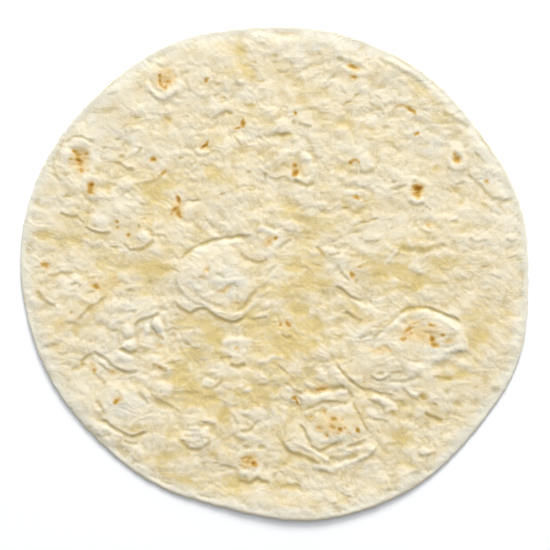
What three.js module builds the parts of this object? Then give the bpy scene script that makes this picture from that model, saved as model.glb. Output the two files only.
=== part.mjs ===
// One flour tortilla wrap lying flat: an uneven round of thin dough with a soft rounded edge.
// The rim lifts a little off the table, the upper face has puffed pillows, bubbles and burst blisters,
// and the underside is flat to rest on.
// Millimetres, +Z up, with the origin on the table under the middle of the round.
import * as THREE from "three";

// The round of dough
const MEAN_DIAMETER = 250;
const DOUGH_THICKNESS = 1.8;
const EDGE_THICKNESS = 1.3;
const RIM_BAND = 8; // width of the smooth rim, over which the relief fades and the dough thins
const LIFTED_BAND = 18; // width of the rim that can leave the table
const RIM_LIFT = 1.4; // the most that the edge leaves the table

// The outline's waves: how many lobes go round, how far each swings the radius, and where one peaks
const OUTLINE_WAVES = [
  { lobes: 2, swing: 2.8, turn: -25 },
  { lobes: 3, swing: 0.8, turn: 60 },
  { lobes: 4, swing: 0.2, turn: 17 },
  { lobes: 5, swing: 0.25, turn: 2 },
  { lobes: 6, swing: 0.4, turn: -8 },
  { lobes: 7, swing: 0.3, turn: 22 },
  { lobes: 8, swing: 0.4, turn: 20 },
  { lobes: 10, swing: 0.25, turn: 17 },
  { lobes: 11, swing: 0.35, turn: 14 },
];

// The rim lifts most along its near side, and elsewhere less or not at all, as shares of RIM_LIFT
const LIFT_MIDDLE = 0.3;
const LIFT_WAVES = [
  { lobes: 1, swing: 0.25, turn: -82 },
  { lobes: 3, swing: 0.25, turn: -82 },
  { lobes: 5, swing: 0.2, turn: -82 },
];

// Puffed places. x and y are the middle, long and wide the half sizes, turn the angle of the long
// side, rise the height above the dough, and pit the depth of a burst, toasted middle.
const BLISTERS = [
  // Large soft pillows
  { x: -22.7, y: -2.7, long: 24, wide: 20, turn: 12, rise: 1.5, pit: 0.3 },
  { x: 72.6, y: -33.1, long: 28, wide: 15, turn: 19, rise: 1.9, pit: 0.6 },
  { x: 29.2, y: -76, long: 17, wide: 14, turn: -8, rise: 1.8, pit: 0.7 },
  { x: -74.6, y: -63.1, long: 18, wide: 11, turn: -30, rise: 1.7, pit: 0 },
  { x: -70.6, y: -32.1, long: 14, wide: 9, turn: 15, rise: 1.7, pit: 0.3 },
  // Bubbles with a whole top
  { x: -38.7, y: -83, long: 9, wide: 7, turn: 5, rise: 1.3, pit: 0 },
  { x: -18.2, y: -38.1, long: 7, wide: 7, turn: 0, rise: 1.2, pit: 0.3 },
  { x: -67.1, y: 17.3, long: 7, wide: 6, turn: 0, rise: 1.1, pit: 0 },
  { x: -99.6, y: -6.7, long: 9, wide: 8, turn: 0, rise: 1.2, pit: 0.2 },
  // Burst blisters with a raised ring and a toasted pit
  { x: -54.1, y: 97.1, long: 8, wide: 8, turn: 0, rise: 1.4, pit: 1.2 },
  { x: -97.1, y: 57.7, long: 8, wide: 9, turn: 0, rise: 1.4, pit: 1.1 },
  { x: -12.2, y: -93.5, long: 9, wide: 8, turn: 0, rise: 1.5, pit: 1.3 },
  { x: 11.2, y: 52.7, long: 8, wide: 7, turn: 0, rise: 1.4, pit: 0.8 },
  { x: 71.6, y: 41.7, long: 6, wide: 6, turn: 0, rise: 1.2, pit: 1.3 },
  { x: 91.1, y: 56.7, long: 6, wide: 6, turn: 0, rise: 1.1, pit: 1 },
  { x: 4.7, y: -25.6, long: 6, wide: 6, turn: 0, rise: 1.1, pit: 0.8 },
  { x: -48.2, y: 33.2, long: 6, wide: 5, turn: 0, rise: 1.1, pit: 0.9 },
  { x: 40.2, y: 56.2, long: 6, wide: 5, turn: 0, rise: 1, pit: 0.7 },
  { x: 41.2, y: 37.7, long: 6, wide: 5, turn: 0, rise: 1, pit: 0.7 },
  { x: 37.7, y: 0.8, long: 6, wide: 6, turn: 0, rise: 0.9, pit: 0.5 },
  { x: 66.1, y: 82.6, long: 7, wide: 5, turn: -30, rise: 1, pit: 0.7 },
  { x: 39.2, y: 100.6, long: 6, wide: 6, turn: 0, rise: 1, pit: 0.7 },
];
const DOME_POWER = 1.5; // how round a dome's top is
const PIT_SHARE = 0.4; // a pit's radius, as a share of its blister's

// Low unevenness all over: waves of rolled dough in many directions
const RIPPLE_COUNT = 14;
const RIPPLE_HEIGHT = 0.035;
const SHORTEST_RIPPLE = 9;
const LONGEST_RIPPLE = 26;
const RIPPLE_SEED = 7;

// Mesh of concentric rings: on the upper face ring k has six times k points, so triangles stay even
const TOP_RINGS = 36;
const POINTS_STEP = 6;
const EDGE_STEPS = 3;

// The underside's rings, with inward the share of the way from the edge to the middle
const UNDERSIDE_RINGS = [
  { points: 144, inward: 0.07 },
  { points: 96, inward: 0.16 },
  { points: 48, inward: 0.4 },
  { points: 18, inward: 0.7 },
  { points: 6, inward: 0.9 },
];

const DOUGH_COLOUR = 0xe7d8b2;
const DOUGH_ROUGHNESS = 0.85;

const FULL_TURN = 2 * Math.PI;
const { clamp, degToRad, lerp, smoothstep } = THREE.MathUtils;

// Sum of waves at an angle, in the units of their swing.
function waveSum(waves, angle) {
  let sum = 0;
  for (const wave of waves) {
    sum += wave.swing * Math.cos(wave.lobes * (angle - degToRad(wave.turn)));
  }
  return sum;
}

function outlineRadius(angle) {
  return MEAN_DIAMETER / 2 + waveSum(OUTLINE_WAVES, angle);
}

// The point that the outline is drawn about, set so that its bounding box is centred on the origin.
function findOutlineCentre() {
  const samples = 720;
  const box = new THREE.Box2();
  for (let i = 0; i < samples; i++) {
    const angle = (i / samples) * FULL_TURN;
    const radius = outlineRadius(angle);
    box.expandByPoint(new THREE.Vector2(radius * Math.cos(angle), radius * Math.sin(angle)));
  }
  return box.getCenter(new THREE.Vector2()).negate();
}

// Seeded random numbers from 0 to 1, the same at every run.
function seededRandom(seed) {
  const multiplier = 16807;
  const modulus = 2147483647;
  let state = seed;
  return () => {
    state = (state * multiplier) % modulus;
    return state / modulus;
  };
}

// Each ripple is a sine wave over the plane: its turns per millimetre along x and y, and its phase.
function drawRipples() {
  const random = seededRandom(RIPPLE_SEED);
  return Array.from({ length: RIPPLE_COUNT }, () => {
    const direction = random() * Math.PI;
    const turns = FULL_TURN / lerp(SHORTEST_RIPPLE, LONGEST_RIPPLE, random());
    const phase = random() * FULL_TURN;
    return { x: turns * Math.cos(direction), y: turns * Math.sin(direction), phase };
  });
}

const outlineCentre = findOutlineCentre();
const ripples = drawRipples();

function rippleHeight(x, y) {
  let height = 0;
  for (const ripple of ripples) {
    height += RIPPLE_HEIGHT * Math.sin(ripple.x * x + ripple.y * y + ripple.phase);
  }
  return height;
}

// A blister is a smooth dome over an ellipse, less a round pit in its middle.
function blisterHeight(blister, x, y) {
  const turn = degToRad(blister.turn);
  const along = (x - blister.x) * Math.cos(turn) + (y - blister.y) * Math.sin(turn);
  const across = (y - blister.y) * Math.cos(turn) - (x - blister.x) * Math.sin(turn);
  const distance = Math.hypot(along / blister.long, across / blister.wide);
  if (distance >= 1) return 0;
  const dome = blister.rise * (1 - distance ** 2) ** DOME_POWER;
  const pit = blister.pit * Math.exp(-((distance / PIT_SHARE) ** 2));
  return dome - pit;
}

function relief(x, y) {
  let height = rippleHeight(x, y);
  for (const blister of BLISTERS) height += blisterHeight(blister, x, y);
  return height;
}

// How far the underside is off the table, at an angle and a distance in from the edge.
function liftHeight(angle, fromEdge) {
  const share = clamp(1 - fromEdge / LIFTED_BAND, 0, 1);
  const rise = Math.max(0, LIFT_MIDDLE + waveSum(LIFT_WAVES, angle));
  return RIM_LIFT * rise * share ** 2;
}

function pointAt(angle, fromEdge, height) {
  const reach = outlineRadius(angle) - fromEdge;
  return new THREE.Vector3(
    outlineCentre.x + reach * Math.cos(angle),
    outlineCentre.y + reach * Math.sin(angle),
    height,
  );
}

// A point of the upper face, with outward the share of the way from the middle to where the edge turns.
function topPoint(angle, outward) {
  const turnIn = EDGE_THICKNESS / 2;
  const fromEdge = lerp(outlineRadius(angle), turnIn, outward);
  const inside = smoothstep(fromEdge, turnIn, RIM_BAND);
  const dough = lerp(EDGE_THICKNESS, DOUGH_THICKNESS, inside);
  const point = pointAt(angle, fromEdge, 0);
  point.z = liftHeight(angle, fromEdge) + dough + inside * relief(point.x, point.y);
  return point;
}

// A point of the half-round edge, with step going from the upper face down to the underside.
function edgePoint(angle, step) {
  const half = EDGE_THICKNESS / 2;
  const tilt = Math.PI * (0.5 - step / EDGE_STEPS);
  const height = liftHeight(angle, half) + half + half * Math.sin(tilt);
  return pointAt(angle, half - half * Math.cos(tilt), height);
}

function undersidePoint(angle, inward) {
  const fromEdge = outlineRadius(angle) * inward;
  return pointAt(angle, fromEdge, liftHeight(angle, fromEdge));
}

function ring(points, placeAt) {
  return Array.from({ length: points }, (_, i) => placeAt((i / points) * FULL_TURN));
}

// All rings in order: from the middle of the upper face, over the edge, to the middle underneath.
function doughRings() {
  const rings = [[topPoint(0, 0)]];
  for (let k = 1; k <= TOP_RINGS; k++) {
    rings.push(ring(POINTS_STEP * k, (angle) => topPoint(angle, k / TOP_RINGS)));
  }
  for (let step = 1; step <= EDGE_STEPS; step++) {
    rings.push(ring(POINTS_STEP * TOP_RINGS, (angle) => edgePoint(angle, step)));
  }
  for (const { points, inward } of UNDERSIDE_RINGS) {
    rings.push(ring(points, (angle) => undersidePoint(angle, inward)));
  }
  rings.push([undersidePoint(0, 1)]);
  return rings;
}

// Triangles between two neighbouring rings, walking round both at the same pace.
// first is the number of each ring's first point; a ring of one point is only ever a tip.
function zipRings(here, next, triangles) {
  const hereSteps = here.points > 1 ? here.points : 0;
  const nextSteps = next.points > 1 ? next.points : 0;
  let i = 0;
  let j = 0;
  while (i < hereSteps || j < nextSteps) {
    const a = here.first + (i % here.points);
    const b = next.first + (j % next.points);
    const nextIsBehind = (j + 1) * hereSteps <= (i + 1) * nextSteps;
    if (j < nextSteps && (i >= hereSteps || nextIsBehind)) {
      j++;
      triangles.push(a, b, next.first + (j % next.points));
    } else {
      i++;
      triangles.push(a, b, here.first + (i % here.points));
    }
  }
}

function buildDough() {
  const rings = doughRings();
  const spans = [];
  const triangles = [];
  let first = 0;
  for (const points of rings) {
    spans.push({ first, points: points.length });
    first += points.length;
  }
  for (let i = 1; i < spans.length; i++) zipRings(spans[i - 1], spans[i], triangles);
  const geometry = new THREE.BufferGeometry().setFromPoints(rings.flat());
  geometry.setIndex(triangles);
  geometry.computeVertexNormals();
  return geometry;
}

const tortilla = new THREE.Mesh(
  buildDough(),
  new THREE.MeshStandardMaterial({ color: DOUGH_COLOUR, roughness: DOUGH_ROUGHNESS, metalness: 0 }),
);
tortilla.name = "tortilla";

const wrap = new THREE.Group();
wrap.add(tortilla);

export default wrap;
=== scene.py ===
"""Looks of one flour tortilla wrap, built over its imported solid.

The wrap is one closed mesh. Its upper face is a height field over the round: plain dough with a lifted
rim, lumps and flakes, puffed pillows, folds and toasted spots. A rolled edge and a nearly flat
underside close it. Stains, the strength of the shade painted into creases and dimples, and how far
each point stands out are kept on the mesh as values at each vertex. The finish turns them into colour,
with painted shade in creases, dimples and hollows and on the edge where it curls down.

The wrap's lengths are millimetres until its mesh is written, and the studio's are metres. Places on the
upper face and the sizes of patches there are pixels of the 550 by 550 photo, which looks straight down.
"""
import logging
import math
from collections.abc import Callable
from dataclasses import dataclass, field
from enum import Enum
from typing import Any, ClassVar, Union

import bpy
import numpy as np
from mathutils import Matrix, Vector


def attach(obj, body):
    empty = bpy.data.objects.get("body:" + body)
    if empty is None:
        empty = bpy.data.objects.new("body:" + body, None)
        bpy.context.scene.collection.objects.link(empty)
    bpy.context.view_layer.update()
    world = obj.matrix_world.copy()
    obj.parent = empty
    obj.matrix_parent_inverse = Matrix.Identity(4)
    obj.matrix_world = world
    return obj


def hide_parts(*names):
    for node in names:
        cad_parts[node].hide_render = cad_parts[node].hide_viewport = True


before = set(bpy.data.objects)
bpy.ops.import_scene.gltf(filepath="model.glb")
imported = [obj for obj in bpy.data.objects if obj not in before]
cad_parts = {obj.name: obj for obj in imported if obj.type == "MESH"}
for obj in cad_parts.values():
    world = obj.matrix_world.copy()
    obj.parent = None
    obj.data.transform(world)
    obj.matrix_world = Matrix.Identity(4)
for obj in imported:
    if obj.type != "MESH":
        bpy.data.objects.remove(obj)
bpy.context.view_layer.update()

MM = 0.001
TURN = 2.0 * math.pi
LOG = logging.getLogger("tortilla")

Array = np.ndarray
Pixel = tuple[float, float]
Colour = tuple[float, float, float]
Span = tuple[float, float]


def ramp(low: float, high: float, value: Array) -> Array:
    """Ease from 0 at low to 1 at high, level at both ends."""
    share = np.clip((value - low) / (high - low), 0.0, 1.0)
    return share * share * (3.0 - 2.0 * share)


def bell(value: Array) -> Array:
    """A bell of height 1: e to the minus square of the value."""
    return np.exp(-value * value)


@dataclass(frozen=True)
class PhotoFrame:
    """The photo's pixels on the table, with +X to the photo's right and +Y up it."""

    side: float = 550.0
    origin: Pixel = (274.45, 273.6)
    scale: float = 0.499  # millimetres to a pixel

    def half(self) -> float:
        """Half the photo's side in millimetres."""
        return 0.5 * self.side * self.scale

    def place(self, pixel: Pixel) -> tuple[float, float]:
        """A pixel's place in millimetres from the part's origin."""
        return (pixel[0] - self.origin[0]) * self.scale, (self.origin[1] - pixel[1]) * self.scale


PHOTO = PhotoFrame()


class DoughNoise:
    """Seeded gradient noise on the plane, about -1 to 1."""

    LATTICE: ClassVar[int] = 512
    LAYER_SHIFT: ClassVar[float] = 17.3
    GAIN: ClassVar[float] = 1.6
    VALLEY: ClassVar[float] = 0.003
    PUFF_LOW: ClassVar[float] = 0.6

    def __init__(self, seed: int) -> None:
        """Draw the slopes of the lattice.

        Args:
            seed: the same seed gives the same noise.
        """
        random = np.random.default_rng(seed)
        self.order = random.permutation(self.LATTICE)
        turn = random.uniform(0.0, TURN, self.LATTICE)
        self.slope_x = np.cos(turn)
        self.slope_y = np.sin(turn)

    @staticmethod
    def _ease(part: Array) -> Array:
        """Ease from 0 to 1 by the quintic that is level and straight at both ends."""
        return part ** 3 * (part * (6.0 * part - 15.0) + 10.0)

    def smooth(self, x: Array, y: Array, size: float) -> Array:
        """Noise whose waves are about a given size.

        Each corner of a square lattice has a slope of its own. A place takes the heights that the four
        slopes round it would give, blended by the ease.

        Args:
            x: places along +X.
            y: places along +Y.
            size: side of a lattice square.

        Returns:
            The noise at each place.
        """
        across = x / size + self.LAYER_SHIFT * size
        up = y / size - self.LAYER_SHIFT * size
        column = np.floor(across).astype(int)
        row = np.floor(up).astype(int)
        part_x = across - column
        part_y = up - row
        ease_x = self._ease(part_x)
        ease_y = self._ease(part_y)
        total = np.zeros_like(across)
        for right in (0, 1):
            share_x = ease_x if right else 1.0 - ease_x
            for above in (0, 1):
                share_y = ease_y if above else 1.0 - ease_y
                corner = self.order[(column + right) % self.LATTICE] + row + above
                pick = self.order[corner % self.LATTICE]
                rise = self.slope_x[pick] * (part_x - right) + self.slope_y[pick] * (part_y - above)
                total += share_x * share_y * rise
        return self.GAIN * total

    def layered(self, x: Array, y: Array, size: float, layers: int) -> Array:
        """Noise in layers, each half the size and half the height of the one before."""
        return sum(self.smooth(x, y, size / 2 ** layer) / 2 ** layer for layer in range(layers))

    def puffed(self, x: Array, y: Array, size: float) -> Array:
        """Rounded lumps with narrow valleys between them: the noise without its sign, about -0.5 to 1."""
        return 2.0 * np.sqrt(self.smooth(x, y, size) ** 2 + self.VALLEY) - self.PUFF_LOW


NOISE = DoughNoise(seed=20)


def soften(grid: Array, reach: int) -> Array:
    """Blur a grid by running means.

    Each pass averages the points up to the reach away along one direction, twice along each.

    Args:
        grid: rows of values.
        reach: points on either side that are averaged.

    Returns:
        The blurred grid.
    """
    for axis in (0, 1, 0, 1):
        margin = [(reach, reach) if axis == way else (0, 0) for way in (0, 1)]
        padded = np.pad(grid, margin, mode="edge")
        windows = np.lib.stride_tricks.sliding_window_view(padded, 2 * reach + 1, axis=axis)
        grid = windows.mean(axis=-1)
    return grid


@dataclass(frozen=True)
class Wave:
    """A wave round the rim: its lobes, how far it swings and the angle of one peak in degrees."""

    lobes: int
    swing: float
    turn: float

    def at(self, angle: Array) -> Array:
        """The swing times the cosine of the lobes times the angle from the peak."""
        return self.swing * np.cos(self.lobes * (angle - math.radians(self.turn)))


@dataclass(frozen=True)
class DoughRound:
    """The uneven round: its outline, lifted rim and thickness, as the solid has them."""

    CENTRE_STEPS: ClassVar[int] = 720

    mean_radius: float = 125.0
    dough: float = 1.8
    edge: float = 1.3
    rim_band: float = 8.0
    lifted_band: float = 18.0
    rim_lift: float = 1.4
    lift_middle: float = 0.3
    outline_waves: tuple[Wave, ...] = (
        Wave(2, 2.8, -25),
        Wave(3, 0.8, 60),
        Wave(4, 0.2, 17),
        Wave(5, 0.25, 2),
        Wave(6, 0.4, -8),
        Wave(7, 0.3, 22),
        Wave(8, 0.4, 20),
        Wave(10, 0.25, 17),
        Wave(11, 0.35, 14),
    )
    lift_waves: tuple[Wave, ...] = (Wave(1, 0.25, -82), Wave(3, 0.25, -82), Wave(5, 0.2, -82))

    def radius(self, angle: Array) -> Array:
        """The mean radius and the sum of the outline's waves."""
        return self.mean_radius + sum(wave.at(angle) for wave in self.outline_waves)

    def centre(self) -> tuple[float, float]:
        """The point that the outline is drawn about, so that its box is centred on the origin.

        Returns:
            The point's x and y.
        """
        angle = np.linspace(0.0, TURN, self.CENTRE_STEPS, endpoint=False)
        x = self.radius(angle) * np.cos(angle)
        y = self.radius(angle) * np.sin(angle)
        return -0.5 * (x.min() + x.max()), -0.5 * (y.min() + y.max())

    def lift(self, angle: Array, from_edge: Array) -> Array:
        """How far the underside is off the table.

        The rim's rise at the angle, times the square of the share of the lifted band that is left.

        Args:
            angle: the angle round the rim.
            from_edge: the distance in from the edge.

        Returns:
            The height at each place.
        """
        share = np.clip(1.0 - from_edge / self.lifted_band, 0.0, 1.0)
        rise = self.lift_middle + sum(wave.at(angle) for wave in self.lift_waves)
        return self.rim_lift * np.maximum(rise, 0.0) * share ** 2

    def place(self, angle: Array, from_edge: Array) -> tuple[Array, Array]:
        """Places at an angle and a distance in from the edge.

        Args:
            angle: the angle of each place.
            from_edge: its distance in from the edge.

        Returns:
            The places along +X and +Y.
        """
        reach = self.radius(angle) - from_edge
        middle_x, middle_y = self.centre()
        return middle_x + reach * np.cos(angle), middle_y + reach * np.sin(angle)

    def inside(self, from_edge: Array) -> Array:
        """0 where the edge turns over, 1 from the inner side of the smooth rim."""
        return ramp(0.5 * self.edge, self.rim_band, from_edge)


class Stain(Enum):
    """What the mesh keeps at each vertex for the finish: stains, painted shade and the crest."""

    THIN = "thin"
    TOAST = "toast"
    GAP = "gap"
    # How strong the painted shade in creases and dimples is
    PAINTED_SHADE = "painted_shade"
    CREST = "crest"


@dataclass
class DoughFace:
    """One face of the wrap while it is worked out, arrays of one length.

    Height is the relief. Smooth is 1 where lumps and flakes are gone. Thin and toast are stains. Gap is
    the distance from the nearest crease, as if each were as wide as the usual one, and the painted shade
    value is how strong the shade painted into that crease is.
    """

    RAGGED_SIZES: ClassVar[tuple[float, ...]] = (5.0, 2.4)
    RAGGED_PUSH: ClassVar[float] = 0.9
    RAGGED_SHIFT: ClassVar[float] = 91.0
    RAW: ClassVar[float] = -1.0
    FAR: ClassVar[float] = 9.0
    # Gaps over which the painted shade of a crease dies away
    CREASE_SHADE_END: ClassVar[Span] = (1.0, 2.2)

    x: Array
    y: Array
    height: Array = field(init=False)
    smooth: Array = field(init=False)
    thin: Array = field(init=False)
    toast: Array = field(init=False)
    gap: Array = field(init=False)
    painted_shade: Array = field(init=False)
    ragged_x: Array = field(init=False)
    ragged_y: Array = field(init=False)

    def __post_init__(self) -> None:
        """Start level and unstained, with places pushed about a little for ragged edges."""
        self.height = np.zeros_like(self.x)
        self.smooth = np.zeros_like(self.x)
        self.thin = np.zeros_like(self.x)
        self.toast = np.full_like(self.x, self.RAW)
        self.gap = np.full_like(self.x, self.FAR)
        self.painted_shade = np.zeros_like(self.x)
        self.ragged_x = self.x.copy()
        self.ragged_y = self.y.copy()
        for size in self.RAGGED_SIZES:
            push = self.RAGGED_PUSH * size / self.RAGGED_SIZES[0]
            self.ragged_x += push * NOISE.smooth(self.x, self.y, size)
            self.ragged_y += push * NOISE.smooth(self.y + self.RAGGED_SHIFT, self.x, size)


@dataclass(frozen=True)
class Patch:
    """An ellipse on the upper face: its middle and half sizes in pixels, its turn in degrees."""

    BELL_POWER: ClassVar[float] = 1.5

    place: Pixel
    half: Pixel
    turn: float = 0.0

    def reach(self, face: DoughFace, corner: float = 2.0) -> Array:
        """How far out each place of a face lies, 0 at the middle and 1 on the ellipse.

        The sum of the two shares of the half sizes, each to the power of corner, and its root.

        Args:
            face: the face that is worked out.
            corner: 2 for an ellipse, more for squarer corners.

        Returns:
            The reach of each place.
        """
        middle_x, middle_y = PHOTO.place(self.place)
        x = face.ragged_x - middle_x
        y = face.ragged_y - middle_y
        turn = math.radians(self.turn)
        long = np.abs(x * math.cos(turn) + y * math.sin(turn)) / (self.half[0] * PHOTO.scale)
        wide = np.abs(y * math.cos(turn) - x * math.sin(turn)) / (self.half[1] * PHOTO.scale)
        return (long ** corner + wide ** corner) ** (1.0 / corner)

    def share(self, face: DoughFace) -> Array:
        """How much of the patch is at each place: a bell of the reach to a power, flat in the middle."""
        return bell(self.reach(face) ** self.BELL_POWER)


@dataclass(frozen=True)
class Pillow(Patch):
    """A puffed place: a smooth dome over an ellipse, paler than the dough round it."""

    SHOULDER: ClassVar[float] = 1.5
    PALE: ClassVar[float] = 0.55

    rise: float = 0.8
    corner: float = 2.0
    crown: float = 2.2
    calm: float = 0.25

    def press(self, face: DoughFace) -> None:
        """Raise a face by a dome, paler and with less grain.

        The dome is 1 less the reach to the crown's power, all to the shoulder's power.

        Args:
            face: the face that is worked out.
        """
        reach = self.reach(face, self.corner)
        dome = np.clip(1.0 - reach ** self.crown, 0.0, 1.0) ** self.SHOULDER
        face.height += self.rise * dome
        face.thin -= self.PALE * dome
        face.smooth = np.maximum(face.smooth, self.calm * np.sqrt(dome))


@dataclass(frozen=True)
class ThinPatch(Patch):
    """A place where the dough is thin and shows yellow, or a pale one if its depth is negative."""

    depth: float = 0.7

    def press(self, face: DoughFace) -> None:
        """Stain a face by the depth times the patch's share."""
        face.thin += self.depth * self.share(face)


@dataclass(frozen=True)
class CalmPatch(Patch):
    """A smooth stretch with few lumps."""

    calm: float = 0.5

    def press(self, face: DoughFace) -> None:
        """Take grain away from a face by the calm times the patch's share."""
        face.smooth = np.maximum(face.smooth, self.calm * self.share(face))


@dataclass(frozen=True)
class Dimple(Patch):
    """A small hollow, darkened by olive painted shade rather than brown toast."""

    GAP_SHARE: ClassVar[float] = 0.6

    painted_shade: float = 0.5
    depth: float = 0.15

    def press(self, face: DoughFace) -> None:
        """Sink a face by a bell of the reach, and paint shade into it as into a crease that is a point.

        Args:
            face: the face that is worked out.
        """
        reach = self.reach(face)
        face.height -= self.depth * bell(reach)
        away = self.GAP_SHARE * reach
        closer = away < face.gap
        painted_shade = self.painted_shade * (1.0 - ramp(*face.CREASE_SHADE_END, away))
        face.gap = np.where(closer, away, face.gap)
        face.painted_shade = np.where(closer, painted_shade, face.painted_shade)


@dataclass(frozen=True)
class Toast(Patch):
    """A toasted spot: a browned pit, with a raised ring where the blister burst."""

    PEAK: ClassVar[float] = 1.4
    PIT_WIDTH: ClassVar[float] = 0.9
    RING_WIDTH: ClassVar[float] = 0.38

    heat: float = 0.8
    pit: float = 0.35
    ring: float = 0.0
    rise: float = 0.35
    fall: float = 0.8

    def press(self, face: DoughFace) -> None:
        """Brown a face by a cone over the ellipse, sink it by a bell and raise the ring by another.

        Args:
            face: the face that is worked out.
        """
        reach = self.reach(face)
        cone = np.maximum(self.PEAK - self.fall * reach, face.RAW)
        face.toast = np.maximum(face.toast, self.heat * cone)
        face.height -= self.pit * bell(reach / self.PIT_WIDTH)
        if self.ring:
            away = reach * math.sqrt(self.half[0] * self.half[1]) / self.ring
            face.height += self.rise * bell((away - 1.0) / self.RING_WIDTH)


@dataclass(frozen=True)
class Line:
    """A smooth curve through pixels of the photo, fading out at both ends."""

    PATH_STEP: ClassVar[float] = 0.4
    FEWEST_STEPS: ClassVar[int] = 4
    TAPER: ClassVar[float] = 0.08
    MARGIN: ClassVar[float] = 3.0

    path: tuple[Pixel, ...]

    def curve(self) -> Array:
        """Places along a smooth curve through the path's points.

        Between two points it is the cubic whose slope at each is half the way between its neighbours.

        Returns:
            One row of x and y for each place.
        """
        points = np.array([PHOTO.place(pixel) for pixel in self.path])
        first = 2.0 * points[0] - points[1]
        last = 2.0 * points[-1] - points[-2]
        chain = np.vstack((first, points, last))
        before, start, end, after = (chain[skip:len(chain) - 3 + skip, None, :] for skip in range(4))
        longest = np.linalg.norm(end - start, axis=2).max()
        steps = max(self.FEWEST_STEPS, math.ceil(longest / self.PATH_STEP))
        share = np.linspace(0.0, 1.0, steps, endpoint=False)[None, :, None]
        bend = (
            2.0 * start
            + (end - before) * share
            + (2.0 * before - 5.0 * start + 4.0 * end - after) * share ** 2
            + (3.0 * start - before - 3.0 * end + after) * share ** 3
        )
        return np.vstack((0.5 * bend.reshape(-1, 2), points[-1]))

    def measure(self, face: DoughFace, margin: float) -> tuple[Array, Array, Array]:
        """How far the places of a face lie from the curve.

        Args:
            face: the face that is worked out.
            margin: how far from the curve's box places are still looked at.

        Returns:
            The numbers of the near places, their distance from the curve, more than 0 on its left, and
            how much of the line is there, less than 1 towards its ends.
        """
        curve = self.curve()
        low = curve.min(axis=0) - margin
        high = curve.max(axis=0) + margin
        inside = (face.x > low[0]) & (face.x < high[0]) & (face.y > low[1]) & (face.y < high[1])
        near = np.flatnonzero(inside)
        between_x = 0.5 * (face.ragged_x + face.x)[near]
        between_y = 0.5 * (face.ragged_y + face.y)[near]
        offset = np.stack((between_x, between_y), axis=1)[:, None, :] - curve[None, :, :]
        square = np.einsum("ijk,ijk->ij", offset, offset)
        nearest = square.argmin(axis=1)
        row = np.arange(len(near))
        course = np.gradient(curve, axis=0)[nearest]
        toward = offset[row, nearest]
        turn = np.sign(course[:, 0] * toward[:, 1] - course[:, 1] * toward[:, 0])
        share = nearest / (len(curve) - 1.0)
        fade = ramp(0.0, self.TAPER, share) * ramp(0.0, self.TAPER, 1.0 - share)
        return near, turn * np.sqrt(square[row, nearest]), fade


@dataclass(frozen=True)
class Fold(Line):
    """A crease: a raised lip on its left that drops at the path, a groove below it and painted shade
    along it.
    """

    CALM: ClassVar[float] = 0.4
    USUAL_WIDTH: ClassVar[float] = 0.7

    groove: float = 0.2
    lip: float = 0.35
    painted_shade: float = 0.5
    width: float = 0.7
    reach: float = 2.5

    def press(self, face: DoughFace) -> None:
        """Press the crease into a face, raise its lip and paint shade along it.

        The lip eases up over twice the width and dies away by e to the minus share of its reach. The
        groove is a bell beside it, on the low side. Both fade towards the path's ends.

        Args:
            face: the face that is worked out.
        """
        near, gap, fade = self.measure(face, self.MARGIN * (self.width + self.reach))
        lip = ramp(-self.width, self.width, gap) * np.exp(-np.maximum(gap, 0.0) / self.reach)
        groove = bell((gap + self.width) / self.width)
        face.height[near] += fade * (self.lip * lip - self.groove * groove)
        calm = self.CALM * fade * bell(gap / (2.0 * self.width))
        face.smooth[near] = np.maximum(face.smooth[near], calm)
        # Painted shade along the crease, kept where this crease is the nearest
        away = np.abs(gap)
        closer = away < face.gap[near]
        widths = away * self.USUAL_WIDTH / self.width
        painted_shade = self.painted_shade * fade * (1.0 - ramp(*face.CREASE_SHADE_END, widths))
        face.gap[near[closer]] = widths[closer]
        face.painted_shade[near[closer]] = painted_shade[closer]


@dataclass(frozen=True)
class Ridge(Line):
    """A rounded ridge of puffed dough, higher and lower by turns along its length."""

    BREAK_SIZE: ClassVar[float] = 4.5
    BREAK_MEAN: ClassVar[float] = 0.55
    BREAK_SWING: ClassVar[float] = 0.5
    PALE: ClassVar[float] = 0.3
    CALM: ClassVar[float] = 0.35

    height: float = 0.4
    width: float = 1.2

    def press(self, face: DoughFace) -> None:
        """Raise a face by a bell of the distance, paler and with less grain.

        Args:
            face: the face that is worked out.
        """
        near, gap, fade = self.measure(face, self.MARGIN * self.width)
        noise = NOISE.smooth(face.x[near], face.y[near], self.BREAK_SIZE)
        broken = self.BREAK_MEAN + self.BREAK_SWING * noise
        share = fade * bell(gap / self.width)
        face.height[near] += self.height * share * broken
        face.thin[near] -= self.PALE * share
        face.smooth[near] = np.maximum(face.smooth[near], self.CALM * share)


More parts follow.
